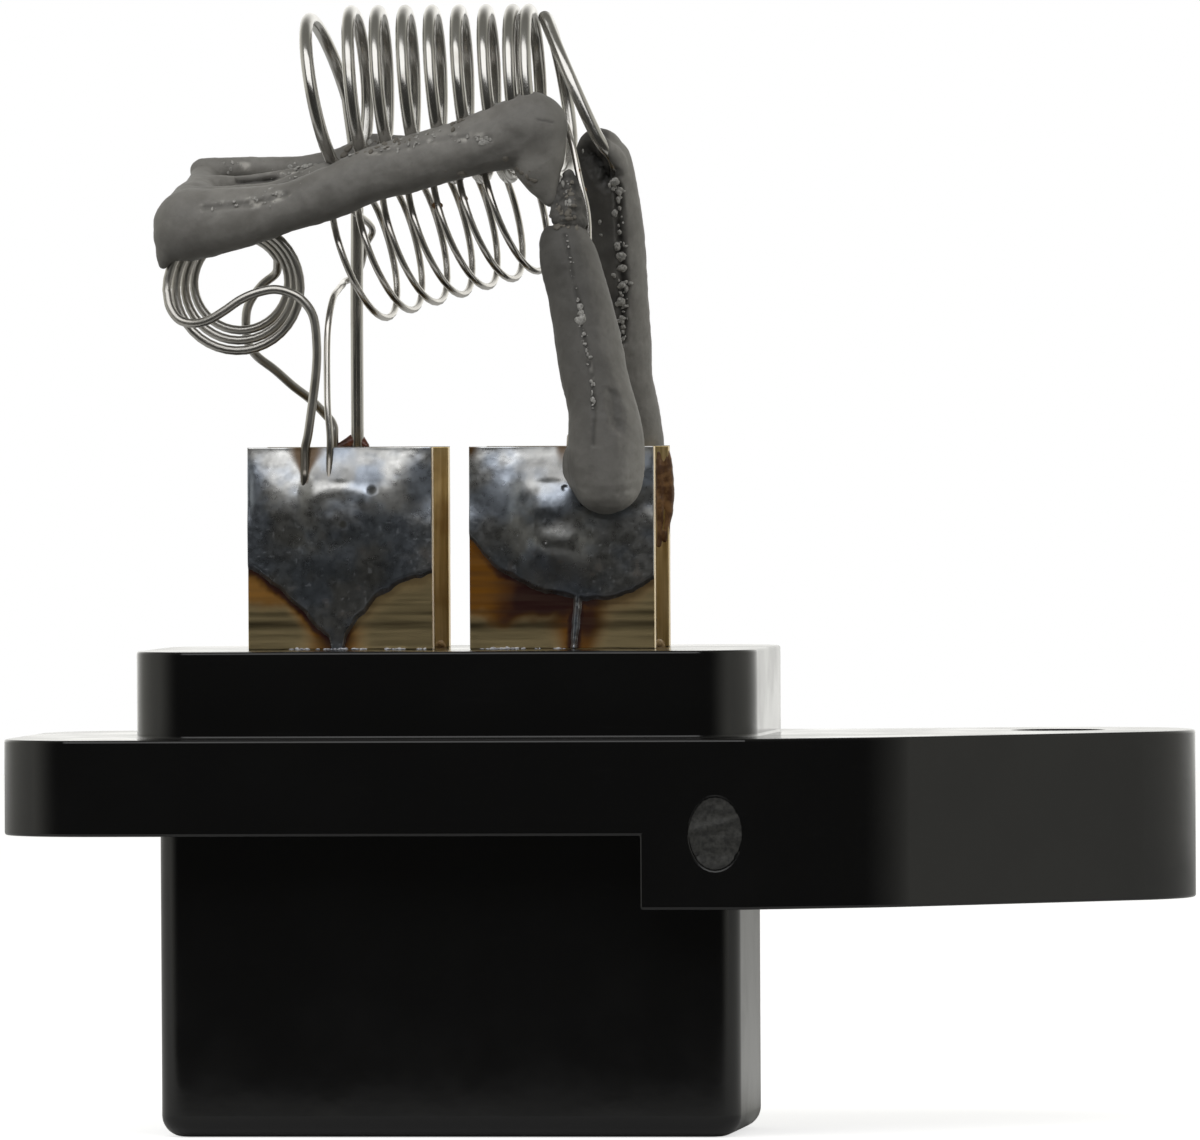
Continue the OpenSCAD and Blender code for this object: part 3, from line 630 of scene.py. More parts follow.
def fuse(parts, voxel, rounds):
    verts, faces = join(parts)
    mesh = bpy.data.meshes.new("raw")
    mesh.from_pydata(verts.tolist(), [], faces)
    obj = add_object("raw", mesh)
    adjust(obj.modifiers.new("skin", "REMESH"), mode="VOXEL", voxel_size=voxel)
    deps = bpy.context.evaluated_depsgraph_get()
    skin = bpy.data.meshes.new_from_object(obj.evaluated_get(deps))
    bpy.data.objects.remove(obj)
    v = np.empty(len(skin.vertices) * 3)
    skin.vertices.foreach_get("co", v)
    v = v.reshape(-1, 3)
    e = np.empty(len(skin.edges) * 2, int)
    skin.edges.foreach_get("vertices", e)
    e = e.reshape(-1, 2)
    faces = [tuple(p.vertices) for p in skin.polygons]
    count = np.bincount(e.ravel(), minlength=len(v))[:, None]
    for _ in range(rounds):
        near = np.zeros_like(v)
        np.add.at(near, e[:, 0], v[e[:, 1]])
        np.add.at(near, e[:, 1], v[e[:, 0]])
        v = v + 0.6 * (near / count - v)
    bpy.data.meshes.remove(skin)
    bpy.data.meshes.remove(mesh)
    return v, faces


def bead_parts(line, steps=10):
    line = np.array(spline(line, steps))
    ends = [ball_mesh(q[:3], q[3], 14, 28) for q in (line[0], line[-1])]
    return [tube_mesh(line[:, :3], line[:, 3], 28)] + ends


def normals_of(v, faces):
    n = np.zeros_like(v)
    quads = np.array([f if len(f) == 4 else (*f, f[-1]) for f in faces])
    side = np.cross(v[quads[:, 2]] - v[quads[:, 0]], v[quads[:, 3]] - v[quads[:, 1]])
    for k in range(4):
        np.add.at(n, quads[:, k], side)
    return n / np.maximum(np.linalg.norm(n, axis=1), 1e-12)[:, None]


def line_distance(v, line):
    """Distance of each point from a line, 9 mm at most."""
    best = np.full(len(v), 9.0)
    for a, b in zip(line, line[1:]):
        d = b - a
        t = np.clip(((v - a) @ d) / (d @ d), 0, 1)
        best = np.minimum(best, np.linalg.norm(v - a - t[:, None] * d, axis=1))
    return best


def seen_on(bvh, u, v):
    hit, normal, _, _ = bvh.ray_cast(CAMERA_PLACE, sight(u, v))
    return (np.array(hit), np.array(normal)) if hit else None


def traced(bvh, pixels, steps=6):
    """The line drawn on a surface by a row of points of the picture."""
    hits = [seen_on(bvh, u, v) for u, v in spline(pixels, steps)]
    return [h[0] for h in hits if h]


def roughen(v, faces, seed, lumps=0.09, bvh=None, grooves=(), smears=()):
    """Lumps, carved lines darkened with painted shade, pale smears and painted shade on undersides; returns
    the moved points and a colour for each.
    """
    n = normals_of(v, faces)
    tint = np.ones((len(v), 4))
    push = lumps * fuzz(v, 2.2, seed) + 0.03 * fuzz(v, 0.6, seed + 1) + 0.012 * fuzz(v, 0.25, seed + 2)
    for pixels, width, depth, dark in grooves:
        ragged = width * (1 + 0.35 * fuzz(v, 0.5, seed + 5))
        near = ease(1 - line_distance(v, traced(bvh, pixels)) / ragged)
        push = push - depth * near * (1 + 0.4 * fuzz(v, 0.35, seed + 6))
        # Painted shade: each carved line's colour is darkened by its dark share.
        dim(tint, 1 - (1 - dark) * near)
    for pixels, width, gain in smears:
        near = ease(1.2 - line_distance(v, traced(bvh, pixels)) / width)
        dim(tint, 1 + gain * near * ease((fuzz(v, 0.55, seed + 8) - 0.06) / 0.3))
    # Painted shade: faces turned downwards are darkened.
    dim(tint, 1 - 0.32 * ease((-0.15 - n[:, 2]) / 0.8))
    return v + push[:, None] * n, tint


def from_side(side, rows):
    return [(side + x, y, PLATE_TOP + z, r) for x, y, z, r in rows]


def from_picture(rows):
    """Bead points given by their place in the picture, their depth and their radius in picture units."""
    return [(*at_depth(u, v, y), r * PIXEL) for u, v, y, r in rows]


# Beads given from a plate's top as x, y, z and radius
FRONT_BAR = [
    (-8.35, -3.6, 12.29, 1.98), (-6.64, -3.9, 12.47, 1.82), (-4.9, -4.1, 12.77, 1.58),
    (-2.6, -4.3, 13.26, 1.36), (-0.43, -4.3, 13.98, 1.48), (1.68, -4.3, 14.91, 1.5),
    (3.78, -4.3, 15.47, 1.55), (5.88, -4.3, 16.09, 1.56), (8.04, -4.3, 16.7, 1.67),
    (9.7, -4.3, 17.16, 1.89), (10.75, -4.3, 17.48, 1.98)]
KNOB = [
    (-1.51, -4.3, 17.48, 1.98), (-1.23, -4.35, 16.27, 1.65), (-1.09, -4.4, 15.17, 1.29),
    (-0.85, -4.4, 14.4, 0.91), (-0.52, -4.4, 13.63, 0.52)]
FRONT_POST = [
    (0.3, -4.6, 11.1, 1.45), (0.49, -4.7, 10.4, 1.62), (1.13, -4.9, 8.03, 1.7), (1.62, -5, 5.67, 1.84),
    (1.93, -5.1, 3.92, 1.87), (2.32, -5.2, 2.33, 1.89), (2.6, -5.4, 0.36, 2.09), (2.63, -5.2, -1.2, 2.1),
    (2.6, -5.05, -1.72, 2.02)]
REAR_POST = [
    (1.89, -1.2, 16.19, 1.32), (2.18, -0.8, 15.42, 1.48), (2.31, 0.4, 13.56, 1.59), (2.4, 1.5, 11.37, 1.65),
    (2.46, 2.4, 9.06, 1.65), (2.53, 3.2, 6.41, 1.65), (2.55, 3.9, 3.92, 1.65), (2.85, 4.6, 1.98, 1.65),
    (3.07, 5.1, 0.32, 1.59), (3.21, 5.2, -1.35, 1.48)]
# Beads given from the picture as u, v, depth and radius
SADDLE = [(189, 225, -3.6, 36), (196, 206, -1, 27), (203, 191, 1.6, 20), (205, 177, 3.4, 14)]
TOE = [(178, 236, -3.6, 25), (170, 247, -3.7, 17), (165, 257, -3.8, 10), (163, 264, -3.8, 5)]
REAR_BAR = [
    (203, 171, 3.6, 13), (232, 169, 4, 12), (262, 169, 4.3, 12), (300, 169.5, 4.4, 14), (330, 166, 4.4, 16),
    (352, 160, 4.4, 17), (369, 152, 4.4, 18), (400, 153, 4.4, 18), (440, 158, 4.4, 19), (480, 153, 4.3, 18),
    (505, 151, 4.2, 16), (519, 151, 4.1, 14)]
INNER_WEB = [(215, 186, 0.5, 12), (245, 184, 1.5, 9), (280, 180, 2, 10), (315, 175, 2.5, 12)]
INNER_RIDGE = [
    (203, 197, -2.2, 10), (235, 194, -2.2, 9), (270, 190, -2.3, 9), (300, 181, -2.6, 10), (325, 172, -3, 10)]
POST_TOES = [(570, 450, -4.6, 5), (568, 460, -4.8, 6), (569, 471, -4.9, 7), (573, 484, -5, 7)]
NECK = [
    (569, 174, -4.3, 5), (571, 186, -4.4, 8), (570, 198, -4.4, 12), (571, 209, -4.5, 15),
    (570, 221, -4.6, 17)]
NECK_SIDE = [(565, 184, -4.4, 6), (562, 195, -4.4, 7), (559, 206, -4.5, 7), (559, 221, -4.6, 8)]


def grains(name, spots, mat, seed, tint=None, flat=0.5):
    """Small irregular lumps half sunk in a surface; spots are points with their normals and sizes."""
    rng = random.Random(seed)
    parts = []
    for p, n, size in spots:
        v, f = ball_mesh((0, 0, 0), 1, 7, 10)
        v = v * (1 + 0.5 * fuzz(v + rng.random() * 50, 1.1, seed, 2))[:, None]
        v = v * size * vec(rng.uniform(0.6, 1.5), rng.uniform(0.7, 1.2), rng.uniform(0.6, 1.5))
        n = np.asarray(n)
        v = v - flat * (v @ n)[:, None] * n
        parts.append((np.asarray(p) + 0.08 * size * n + v, f))
    v, f = join(parts)
    piece(name, v, f, mat, (), None if tint is None else np.tile((*tint, 1), (len(v), 1)))


def size_between(rng, sizes):
    """A size between two, mostly near the lower one."""
    low, high = sizes
    return low + (high - low) * rng.random() ** 2.2


def scatter(bvh, pixels, count, spread, sizes, seed):
    """Lumps strewn on a surface round a line of the picture."""
    rng = random.Random(seed)
    line = spline(pixels, 12)
    spots = []
    for _ in range(count):
        u, v = line[rng.randrange(len(line))]
        hit = seen_on(bvh, u + rng.gauss(0, spread), v + rng.gauss(0, spread))
        if hit:
            spots.append((*hit, size_between(rng, sizes)))
    return spots


def placed(bvh, rows):
    """Lumps at given places of the picture, with their radii in picture units."""
    hits = [(seen_on(bvh, u, v), r) for u, v, r in rows]
    return [(*hit, r * PIXEL) for hit, r in hits if hit]


def collars(bvh, path, count, sizes, reach, seed):
    """Crumbs on a wire where it comes out of the cement."""
    rng = random.Random(seed)
    near = []
    for p in path:
        at, n, _, d = bvh.find_nearest(Vector(p))
        if (Vector(p) - at).dot(n) > 0 and d < reach and p[0] < RIGHT_X - 2.4:
            near.append(p)
    spots = []
    for _ in range(count if near else 0):
        p = near[rng.randrange(len(near))]
        turn = vec(rng.gauss(0, 1), rng.gauss(0, 1), rng.gauss(0, 1))
        turn /= np.linalg.norm(turn)
        size = size_between(rng, sizes)
        spots.append((p + turn * rng.uniform(0.1, 0.25), turn, size))
    return spots


def lay_bars(cement, heavy, fine, spots, crumbs):
    """The bead along both sides of the coils, with its saddle over the small coil."""
    rows = [from_side(LEFT_X, FRONT_BAR), from_side(RIGHT_X, KNOB)]
    rows += [from_picture(r) for r in (SADDLE, TOE, REAR_BAR, INNER_WEB, INNER_RIDGE)]
    v, f = fuse([part for row in rows for part in bead_parts(row)], 0.1, 6)
    bvh = BVHTree.FromPolygons(v.tolist(), f)
    edge = [(372, 152), (395, 149), (430, 141), (462, 137), (490, 138)]
    end = [(205, 207), (235, 205), (262, 201), (285, 193)]
    hollow, nick = [(241, 181), (258, 180), (274, 179)], [(537, 119), (545, 120.5), (553, 122)]
    fold, patch = [(470, 160), (500, 150), (520, 138)], [(478, 144), (484, 142), (492, 140)]
    ledge, back = [(278, 172), (295, 172), (312, 165)], [(222, 167), (246, 166)]
    clot, under = [(480, 143), (490, 140)], [(440, 184), (475, 180), (510, 176), (535, 184)]
    entries = [(350, 151), (357, 149), (372, 146), (383, 143), (398, 140), (410, 137), (437, 131), (464, 120)]
    for line, count, spread, sizes, seed in (
            (edge, 26, 3, (0.02, 0.12), 1), (end, 24, 4, (0.02, 0.14), 2), (ledge, 30, 6, (0.02, 0.18), 12),
            (back, 12, 3, (0.02, 0.12), 13), (clot, 14, 1.4, (0.05, 0.14), 3),
            (entries, 44, 4, (0.02, 0.14), 15)):
        spots += scatter(bvh, line, count, spread, sizes, seed)
    crumbs += scatter(bvh, entries, 46, 4, (0.06, 0.2), 14) + scatter(bvh, under, 60, 5, (0.06, 0.22), 16)
    crumbs += collars(bvh, heavy, 80, (0.07, 0.18), 0.35, 17) + collars(bvh, fine, 110, (0.05, 0.15), 0.4, 18)
    # Painted shade in the carved lines: the last number of each is the share of colour left in it.
    grooves = [(edge, 0.3, 0.06, 0.85), (end, 0.34, 0.14, 0.7), (hollow, 0.42, 0.3, 0.3),
               (nick, 0.1, 0.05, 0.6), (fold, 0.5, 0.05, 0.85)]
    smears = [(edge, 0.35, 1.3), (end, 0.4, 1.5), (ledge, 0.6, 1.5), (back, 0.3, 1.3), (patch, 0.25, 2)]
    v, tint = roughen(v, f, 11, bvh=bvh, grooves=grooves, smears=smears)
    # Painted light: the bars are lightened by amounts that change along their length, and more below the top
    # of their right end.
    tone = along(v[:, 0], [(-15.5, 1.2), (-13, 1.45), (-11, 1.55), (-8.5, 1.25), (-6, 1.2), (-3, 1.42),
                           (0, 1.47), (2.8, 1.32), (5, 1.12)])
    dim(tint, tone * (1 + 0.35 * ease((v[:, 0] - 3) / 1.5) * ease((PLATE_TOP + 17.3 - v[:, 2]) / 2)))
    piece("coil_cement_bars", v, f, cement, ["coil_cement"], tint)


def lay_front_post(cement, spots, crumbs):
    """The bead down the fine coil's end lead, with a flat top and small toes on the solder."""
    parts = bead_parts(from_side(RIGHT_X, FRONT_POST)) + bead_parts(from_picture(POST_TOES), 3)
    v, f = fuse(parts, 0.1, 9)
    top = PLATE_TOP + 12.1
    v[:, 2] = np.where(v[:, 2] > top, top + 0.1 * (v[:, 2] - top), v[:, 2])
    bvh = BVHTree.FromPolygons(v.tolist(), f)
    seam = [(565, 236), (570, 261), (575, 289), (580, 306), (581, 325), (586, 345), (591, 372), (594, 410),
            (593, 445)]
    upper, lower = seam[:4], seam[3:8]
    dent, rim = [(612, 395), (615, 410), (617, 425)], [(554, 226), (575, 225), (588, 228)]
    lumps = [(580, 307, 3.2), (580, 313, 2.4), (580, 320, 4.6), (583, 319, 3), (584, 334, 2.4), (585, 344, 2),
             (593, 400, 2), (578, 300, 1.8), (592, 385, 1.6)]
    spots += scatter(bvh, upper, 14, 1.6, (0.02, 0.06), 4) + scatter(bvh, lower, 40, 1.8, (0.02, 0.11), 5)
    spots += placed(bvh, lumps)
    crumbs += scatter(bvh, rim, 26, 2.5, (0.05, 0.2), 19)
    # Painted shade in the seam and the dent, by the last number of each carved line.
    grooves = [(seam, 0.2, 0.09, 0.7), (dent, 0.7, 0.16, 0.75)]
    v, tint = roughen(v, f, 23, 0.05, bvh, grooves, [(lower, 0.16, 1.6), (upper, 0.12, 0.6)])
    # Painted light: lighter towards the foot, darker towards the top, and lighter on the side that faces
    # right.
    tone = along(v[:, 2] - PLATE_TOP, [(-3.2, 1.9), (-2.4, 1.5), (-1.6, 1.18), (0.5, 0.88), (2.7, 0.77),
                                       (5.4, 0.74), (8.2, 0.65), (10.9, 0.57)])
    dim(tint, tone * (1 + 0.65 * ease((normals_of(v, f)[:, 0] - 0.3) / 0.5)))
    piece("front_post_bead", v, f, cement, ["front_post_cement"], tint)


def lay_neck(cement, spots, crumbs):
    """Crumbly cement between the bar's right end and the front post."""
    v, f = fuse(bead_parts(from_picture(NECK), 6) + bead_parts(from_picture(NECK_SIDE), 4), 0.07, 2)
    v, tint = roughen(v, f, 29, 0.12)
    v = v + 0.2 * fuzz(v, 0.7, 31)[:, None] * normals_of(v, f)
    dim(tint, 0.54 + 0.5 * fuzz(v, 0.5, 33))
    bvh = BVHTree.FromPolygons(v.tolist(), f)
    middle, upper = [(567, 185), (570, 200), (562, 215), (576, 218)], [(567, 180), (569, 195), (571, 205)]
    crumbs += scatter(bvh, middle, 34, 6, (0.05, 0.2), 34)
    spots += scatter(bvh, upper, 12, 2.5, (0.05, 0.16), 35)
    piece("cement_neck", v, f, cement, (), tint)


def lay_rear_post(cement, heavy, bubbles):
    """The bead down the heavy coil's end lead, swollen where the lead goes in."""
    sunk = [p for p in heavy if p[0] > RIGHT_X + 1 and PLATE_TOP + 15.4 < p[2] < PLATE_TOP + 17.4]
    swell = [(p[0] + 0.08, p[1] + 0.12, p[2], 0.28 + 0.42 * k / len(sunk)) for k, p in enumerate(sunk)]
    v, f = fuse(bead_parts(from_side(RIGHT_X, REAR_POST)) + bead_parts(swell, 2), 0.1, 3)
    bvh = BVHTree.FromPolygons(v.tolist(), f)
    seam = [(613, 182), (619, 195), (620, 228), (622, 256), (624, 284), (623, 300), (622, 340)]
    throat, shade_end = [(588, 156), (597, 166), (606, 178)], 400
    lumps = [(583, 151, 2), (619, 190, 2.6), (620, 232, 3), (621, 256, 4.4), (622, 268, 4), (614, 275, 3),
             (622, 285, 4.6), (622, 318, 3), (623, 339, 2.6), (600, 222, 2), (601, 235, 1.6)]
    bubbles += scatter(bvh, seam, 80, 2.6, (0.05, 0.22), 6) + placed(bvh, lumps)
    # Painted shade in the seam and the throat, by the last number of each carved line.
    v, tint = roughen(v, f, 37, 0.05, bvh, [(seam, 0.4, 0.36, 0.36), (throat, 1.0, 0.7, 0.3)])
    u, h = pictured(v)
    shade = ease((along(h, [(b, a) for a, b in seam]) - u - 1) / 6) * ease((shade_end - h) / 60)
    dim(tint, 1 - 0.48 * shade * (1 + 0.5 * fuzz(v, 1.2, 38)))
    # Painted light: the whole bead lightened, and more on the side that faces right.
    dim(tint, 1.2 + 0.3 * ease((normals_of(v, f)[:, 0] - 0.3) / 0.5))
    piece("rear_post_bead", v, f, cement, ["rear_post_cement"], tint)


def lay_cement():
    cement = make_cement()
    pale = make_plain("pale_specks", (0.5, 0.49, 0.465), 0.5, (0.26, 0.253, 0.24), 0.12)
    glassy = make_plain("pale_bubbles", (0.46, 0.45, 0.425), 0.35, (0.22, 0.215, 0.2), 0.12)
    rust = make_plain("flux_crumbs", (0.3, 0.15, 0.06), 0.4, (0.12, 0.06, 0.025), 0.15)
    spots, bubbles, crumbs = [], [], []
    heavy, fine = heavy_path(), fine_path()
    lay_bars(cement, heavy, fine, spots, crumbs)
    lay_front_post(cement, spots, crumbs)
    lay_neck(cement, spots, crumbs)
    lay_rear_post(cement, heavy, bubbles)
    grains("pale_specks", spots, pale, 9, flat=0.72)
    grains("pale_bubbles", bubbles, glassy, 8, flat=0.4)
    grains("cement_crumbs", crumbs, cement, 10, tint=(1.05, 1, 0.92))

    front = np.array([p for p in fine if p[1] < 0])
    pu, ph = pictured(front)
    stuck = ((452, 200), (449, 204), (386, 212), (476, 190), (570, 176), (571, 192), (576, 205))
    bits = [(front[np.argmin(np.hypot(pu - u, ph - h))], vec(0, -1, 0), 0.22) for u, h in stuck]
    grains("flux_bits", bits, rust, 21)


def lay_flux():
    """Rosin at the rear joints: a red-brown mound round the heavy lead and a coat down the right edge."""
    mound = [(338, 447, 4.5, 4), (347, 444, 4.6, 6), (357, 441, 4.7, 8), (366, 446, 4.5, 4)]
    near = [(659, 453, 3.55, 4), (660, 475, 3.55, 5), (660, 500, 3.55, 5), (660, 522, 3.55, 4),
            (659, 545, 3.5, 3)]
    far = [(667, 453, 3.6, 4), (668, 466, 3.6, 5), (669, 485, 3.6, 5.5), (669, 505, 3.6, 5),
           (667, 522, 3.6, 4), (665, 540, 3.5, 3)]
    left_foot = [(436, 646, 3.6, 4), (441, 643, 3.6, 5), (445, 646, 3.6, 4)]
    right_foot = [(655, 646, 3.6, 4), (660, 642, 3.6, 5), (664, 646, 3.6, 4)]
    for name, rows, base, dark, seed in (
            ("flux_mound", [mound], (0.16, 0.05, 0.03), (0.07, 0.025, 0.015), 41),
            ("flux_coat", [near, far], (0.26, 0.14, 0.06), (0.1, 0.045, 0.02), 43),
            ("strip_feet", [left_foot, right_foot], (0.6, 0.44, 0.24), (0.3, 0.17, 0.07), 45)):
        v, f = fuse([part for row in rows for part in bead_parts(from_picture(row))], 0.06, 3)
        v, _ = roughen(v, f, seed, 0.05)
        piece(name, v, f, make_plain(name, base, 0.3, dark, 0.5))

    # Painted reflection: pale bluish flakes along the base's top in front of the plates stand for the light
    # its gloss reflects there.
    rng = random.Random(51)
    boss_row, flakes = 648, []
    runs = ((291, 309, 8), (317, 366, 22), (387, 404, 9), (418, 428, 4), (482, 524, 20), (536, 540, 3),
            (556, 566, 5))
    for low, high, count in runs:
        for _ in range(count):
            x = at_depth(rng.uniform(low, high), boss_row, -4.5)[0]
            place = vec(x, -FACE_Y - rng.uniform(0.1, 0.5), BOSS_TOP + 0.02)
            flakes.append((place, vec(0, 0, 1), rng.uniform(0.05, 0.16)))
    pale = make_plain("painted_reflection_flakes", (0.62, 0.64, 0.68), 0.4, (0.36, 0.36, 0.4), 0.15)
    grains("base_flakes", flakes, pale, 52)


# Solder and stain: sheets over the plates whose thickness is drawn across the face

def sheet_mesh(gx, gz, height, centre_x, side, sink=0.05):
    """Closed slab with its outer face raised by height over the plate's face and its back sunk in it."""
    rows, cols = gx.shape
    outer = np.stack([centre_x + gx, side * (FACE_Y + height), PLATE_TOP + gz], -1).reshape(-1, 3)
    inner = outer.copy()
    inner[:, 1] = side * (FACE_Y - sink)
    n = rows * cols
    grid = np.arange(n).reshape(rows, cols)
    quads = np.stack([grid[:-1, :-1], grid[:-1, 1:], grid[1:, 1:], grid[1:, :-1]], -1).reshape(-1, 4)
    rim = np.concatenate([grid[0], grid[1:, -1], grid[-1, -2::-1], grid[-2:0:-1, 0]])
    after = np.roll(rim, -1)
    faces = np.concatenate([quads, n + quads[:, ::-1], np.stack([after, rim, n + rim, n + after], -1)])
    return np.concatenate([outer, inner]), faces[:, ::-side].tolist()


def blur(a, rounds):
    for _ in range(rounds):
        p = np.pad(a, 1, mode="edge")
        a = (4 * p[1:-1, 1:-1] + p[:-2, 1:-1] + p[2:, 1:-1] + p[1:-1, :-2] + p[1:-1, 2:]) / 8
    return a


def lower_of(a, b, soft):
    t = np.clip(0.5 + 0.5 * (b - a) / soft, 0, 1)
    return b + (a - b) * t - soft * t * (1 - t)


def upper_of(a, b, soft):
    return -lower_of(-a, -b, soft)


def hill(gx, gz, crest, foot, slope):
    """Solder that thickens downwards as far as the crest line, then thins out to its lower edge."""
    top, low = blur(along(gx, crest), 10), along(gx, foot)

    def swell(z):
        return 0.05 - slope * z - 0.011 * z * z

    down = 0.06 + (swell(top) - 0.06) * (gz - low) / (top - low)
    h = lower_of(swell(np.minimum(gz, 0)), down, 0.34)
    return np.maximum(h, 0.04) * ease((PLATE_HALF - np.abs(gx)) / 0.45 + 0.15)


def over_strap(gx, gz, x, crown):
    """Solder over the clinch strap: a dome that covers its arch and runs out to the sides and below."""
    d = np.minimum(np.abs(gx - x) / 3, 1)
    dome = (1.12 + along(-gz, crown)) * (1 - d * d) ** 1.5
    return dome * ease((-1.3 - gz) / 0.7) * ease((gz + 8.4) / 4)


def softness(gz):
    """How widely the strap's dome blends into the solder round it: little above, more below."""
    return 0.1 + 0.7 * ease((-2.6 - gz) / 1.8)


def steeper(gx, x):
    """Extra slope of the solder above a strap."""
    return ease((2.7 - np.abs(gx - x)) / 1.7)


def calm(h, gz, rounds):
    """The surface with its part below the straps smoothed."""
    return h + (blur(h, rounds) - h) * ease((-3.5 - gz) / 0.7)


def dimple(gx, gz, x, z, r, depth):
    return -depth * ease(1.3 - np.hypot(gx - x, gz - z) / r)


def oval(gx, gz, x, z, rx, rz, reach):
    """One inside an oval and less towards its edge and past it."""
    return ease(reach - np.hypot((gx - x) / rx, (gz - z) / rz))


# The solder's lower edge on each plate, from the plate's middle and top
REAR_FOOT = [
    (-5.2, -6.2), (-2.6, -7.2), (-0.6, -8.4), (-0.3, -11.3), (0.3, -11.3), (0.6, -8.4), (2.6, -7.2),
    (5.2, -6.2)]
FOOT_LINES = {
    "front_left": [
        (-5.2, -6.75), (-4.8, -6.85), (-2.95, -8.14), (-2.13, -9.0), (-1.3, -9.9), (-0.62, -10.5),
        (-0.45, -11.3), (0.1, -11.3), (0.3, -10.5), (0.78, -9.7), (1.39, -9.07), (2.05, -8.3), (3.3, -7.6),
        (5.2, -6.9)],
    "front_right": [
        (-5.2, -4.9), (-4.96, -5.12), (-4.35, -5.95), (-3.48, -6.77), (-2.43, -7.37), (-1.28, -7.98),
        (0.04, -8.25), (0.75, -8.4), (1.3, -8.47), (2.62, -8.42), (3.94, -8.09), (5.2, -7.2)],
    "rear_left": REAR_FOOT, "rear_right": REAR_FOOT}
# Painted highlight and shade above a strap: its middle, half its width and how much the solder's colour is
# lightened or darkened by depth
PAINTED_SHEEN_BANDS = {
    "front_left": (0.5, 2.5, [
        (0, 0.55), (0.6, 0.62), (1.0, 0.62), (1.4, 0.42), (1.75, 0.38), (2.05, 0.8), (2.3, 1.15), (2.8, 1.25),
        (3.4, 1)]),
    "front_right": (-0.7, 2.3, [
        (0, 0.45), (0.5, 0.66), (1.0, 0.44), (1.5, 0.44), (1.85, 0.6), (2.2, 0.9), (2.7, 0.85), (3.4, 1)])}
# Frosted flanks as middle and half sizes, and dark pits
DULL = {
    "front_left": [(2.9, -3.0, 1.3, 1.1), (-3.1, -2.9, 1.4, 0.9)], "front_right": [(-3.4, -2.5, 1.1, 1.1)]}
PITS = {"front_left": [(1.93, -2.35), (0.34, -4.2)]}


def front_left_height(gx, gz):
    crest = [
        (-5.2, -2.0), (-4.9, -2.14), (-4.2, -2.4), (-3.6, -2.8), (-3.06, -3.1), (-2.67, -3.3), (-2.06, -3.2),
        (-1.5, -2.8), (-1.0, -2.4), (1.2, -2.4), (1.8, -2.7), (2.3, -2.9), (2.7, -2.8), (2.95, -2.5),
        (3.33, -2.0), (3.87, -1.37), (4.41, -0.68), (5.2, -0.2)]
    slope = 0.2 + 0.06 * ease((gx + 4.8) / 1.6) + 0.26 * steeper(gx, 0.2)
    h = blur(hill(gx, gz, crest, FOOT_LINES["front_left"], slope), 14)
    crown = [(1.9, 0.06), (2.4, 0.14), (3.1, 0.16), (4.4, 0.16)]
    h = upper_of(h, over_strap(gx, gz, 0.2, crown), softness(gz))
    h += 0.13 * ease((0.42 - np.abs(gx + 0.1)) / 0.2) * ease((-6.3 - gz) / 1.2)
    h = calm(blur(h, 16), gz, 60)
    near, far = PITS["front_left"]
    return h + dimple(gx, gz, *near, 0.26, 0.05) + dimple(gx, gz, *far, 0.34, 0.015)


def tail_middle(gz):
    """Middle of the front right solder's thin tail."""
    return 0.66 + 0.08 * (gz + 11)


def front_right_height(gx, gz):
    crest = [(-5.2, -0.8), (-4.99, -0.99), (-4.45, -1.29), (-3.91, -1.76), (-3.56, -2.4), (-3.3, -2.9),
             (-2.9, -3.1), (-2.4, -2.9), (-1.8, -2.4), (1.2, -2.4), (2.2, -2.4), (3.6, -1.6), (5.2, -0.6)]
    slope = 0.21 + 0.03 * ease((gx + 3) / 2) + 0.26 * steeper(gx, -0.5)
    h = blur(hill(gx, gz, crest, FOOT_LINES["front_right"], slope), 14)
    crown = [(1.9, 0.06), (2.3, 0.16), (2.9, 0.34), (3.4, 0.42), (3.9, 0.36), (4.5, 0.2)]
    h = upper_of(h, over_strap(gx, gz, -0.5, crown), softness(gz))
    across = np.where(gx < -0.2, (gx + 2.1) / 1.5, (2.9 - gx) / 2.6)
    h += 0.46 * ease((-3.9 - gz) / 1.6) * ease((gz + 7.8) / 2.2) * ease(across)
    h += 0.1 * ease((0.36 - np.abs(gx - tail_middle(gz))) / 0.22) * ease((-4.8 - gz) / 2)
    h = calm(blur(h, 16), gz, 80)
    return h + dimple(gx, gz, 0.3, -2.25, 0.14, 0.08) + dimple(gx, gz, -0.7, -5.2, 0.1, 0.06)


def rear_height(gx, gz, strap):
    crest = [(-5.2, -1.2), (-3.6, -2.4), (-2.4, -3.8), (strap - 1.6, -3.8), (strap - 1.4, -2.2),
             (strap + 1.4, -2.2), (strap + 1.6, -3.8), (3, -3.6), (4, -2.2), (5.2, -1)]
    h = blur(hill(gx, gz, crest, REAR_FOOT, 0.24), 14)
    crown = [(1.9, 0.12), (2.6, 0.2), (3.2, 0.24), (4.5, 0.18)]
    return blur(upper_of(h, over_strap(gx, gz, strap, crown), 0.3), 14)


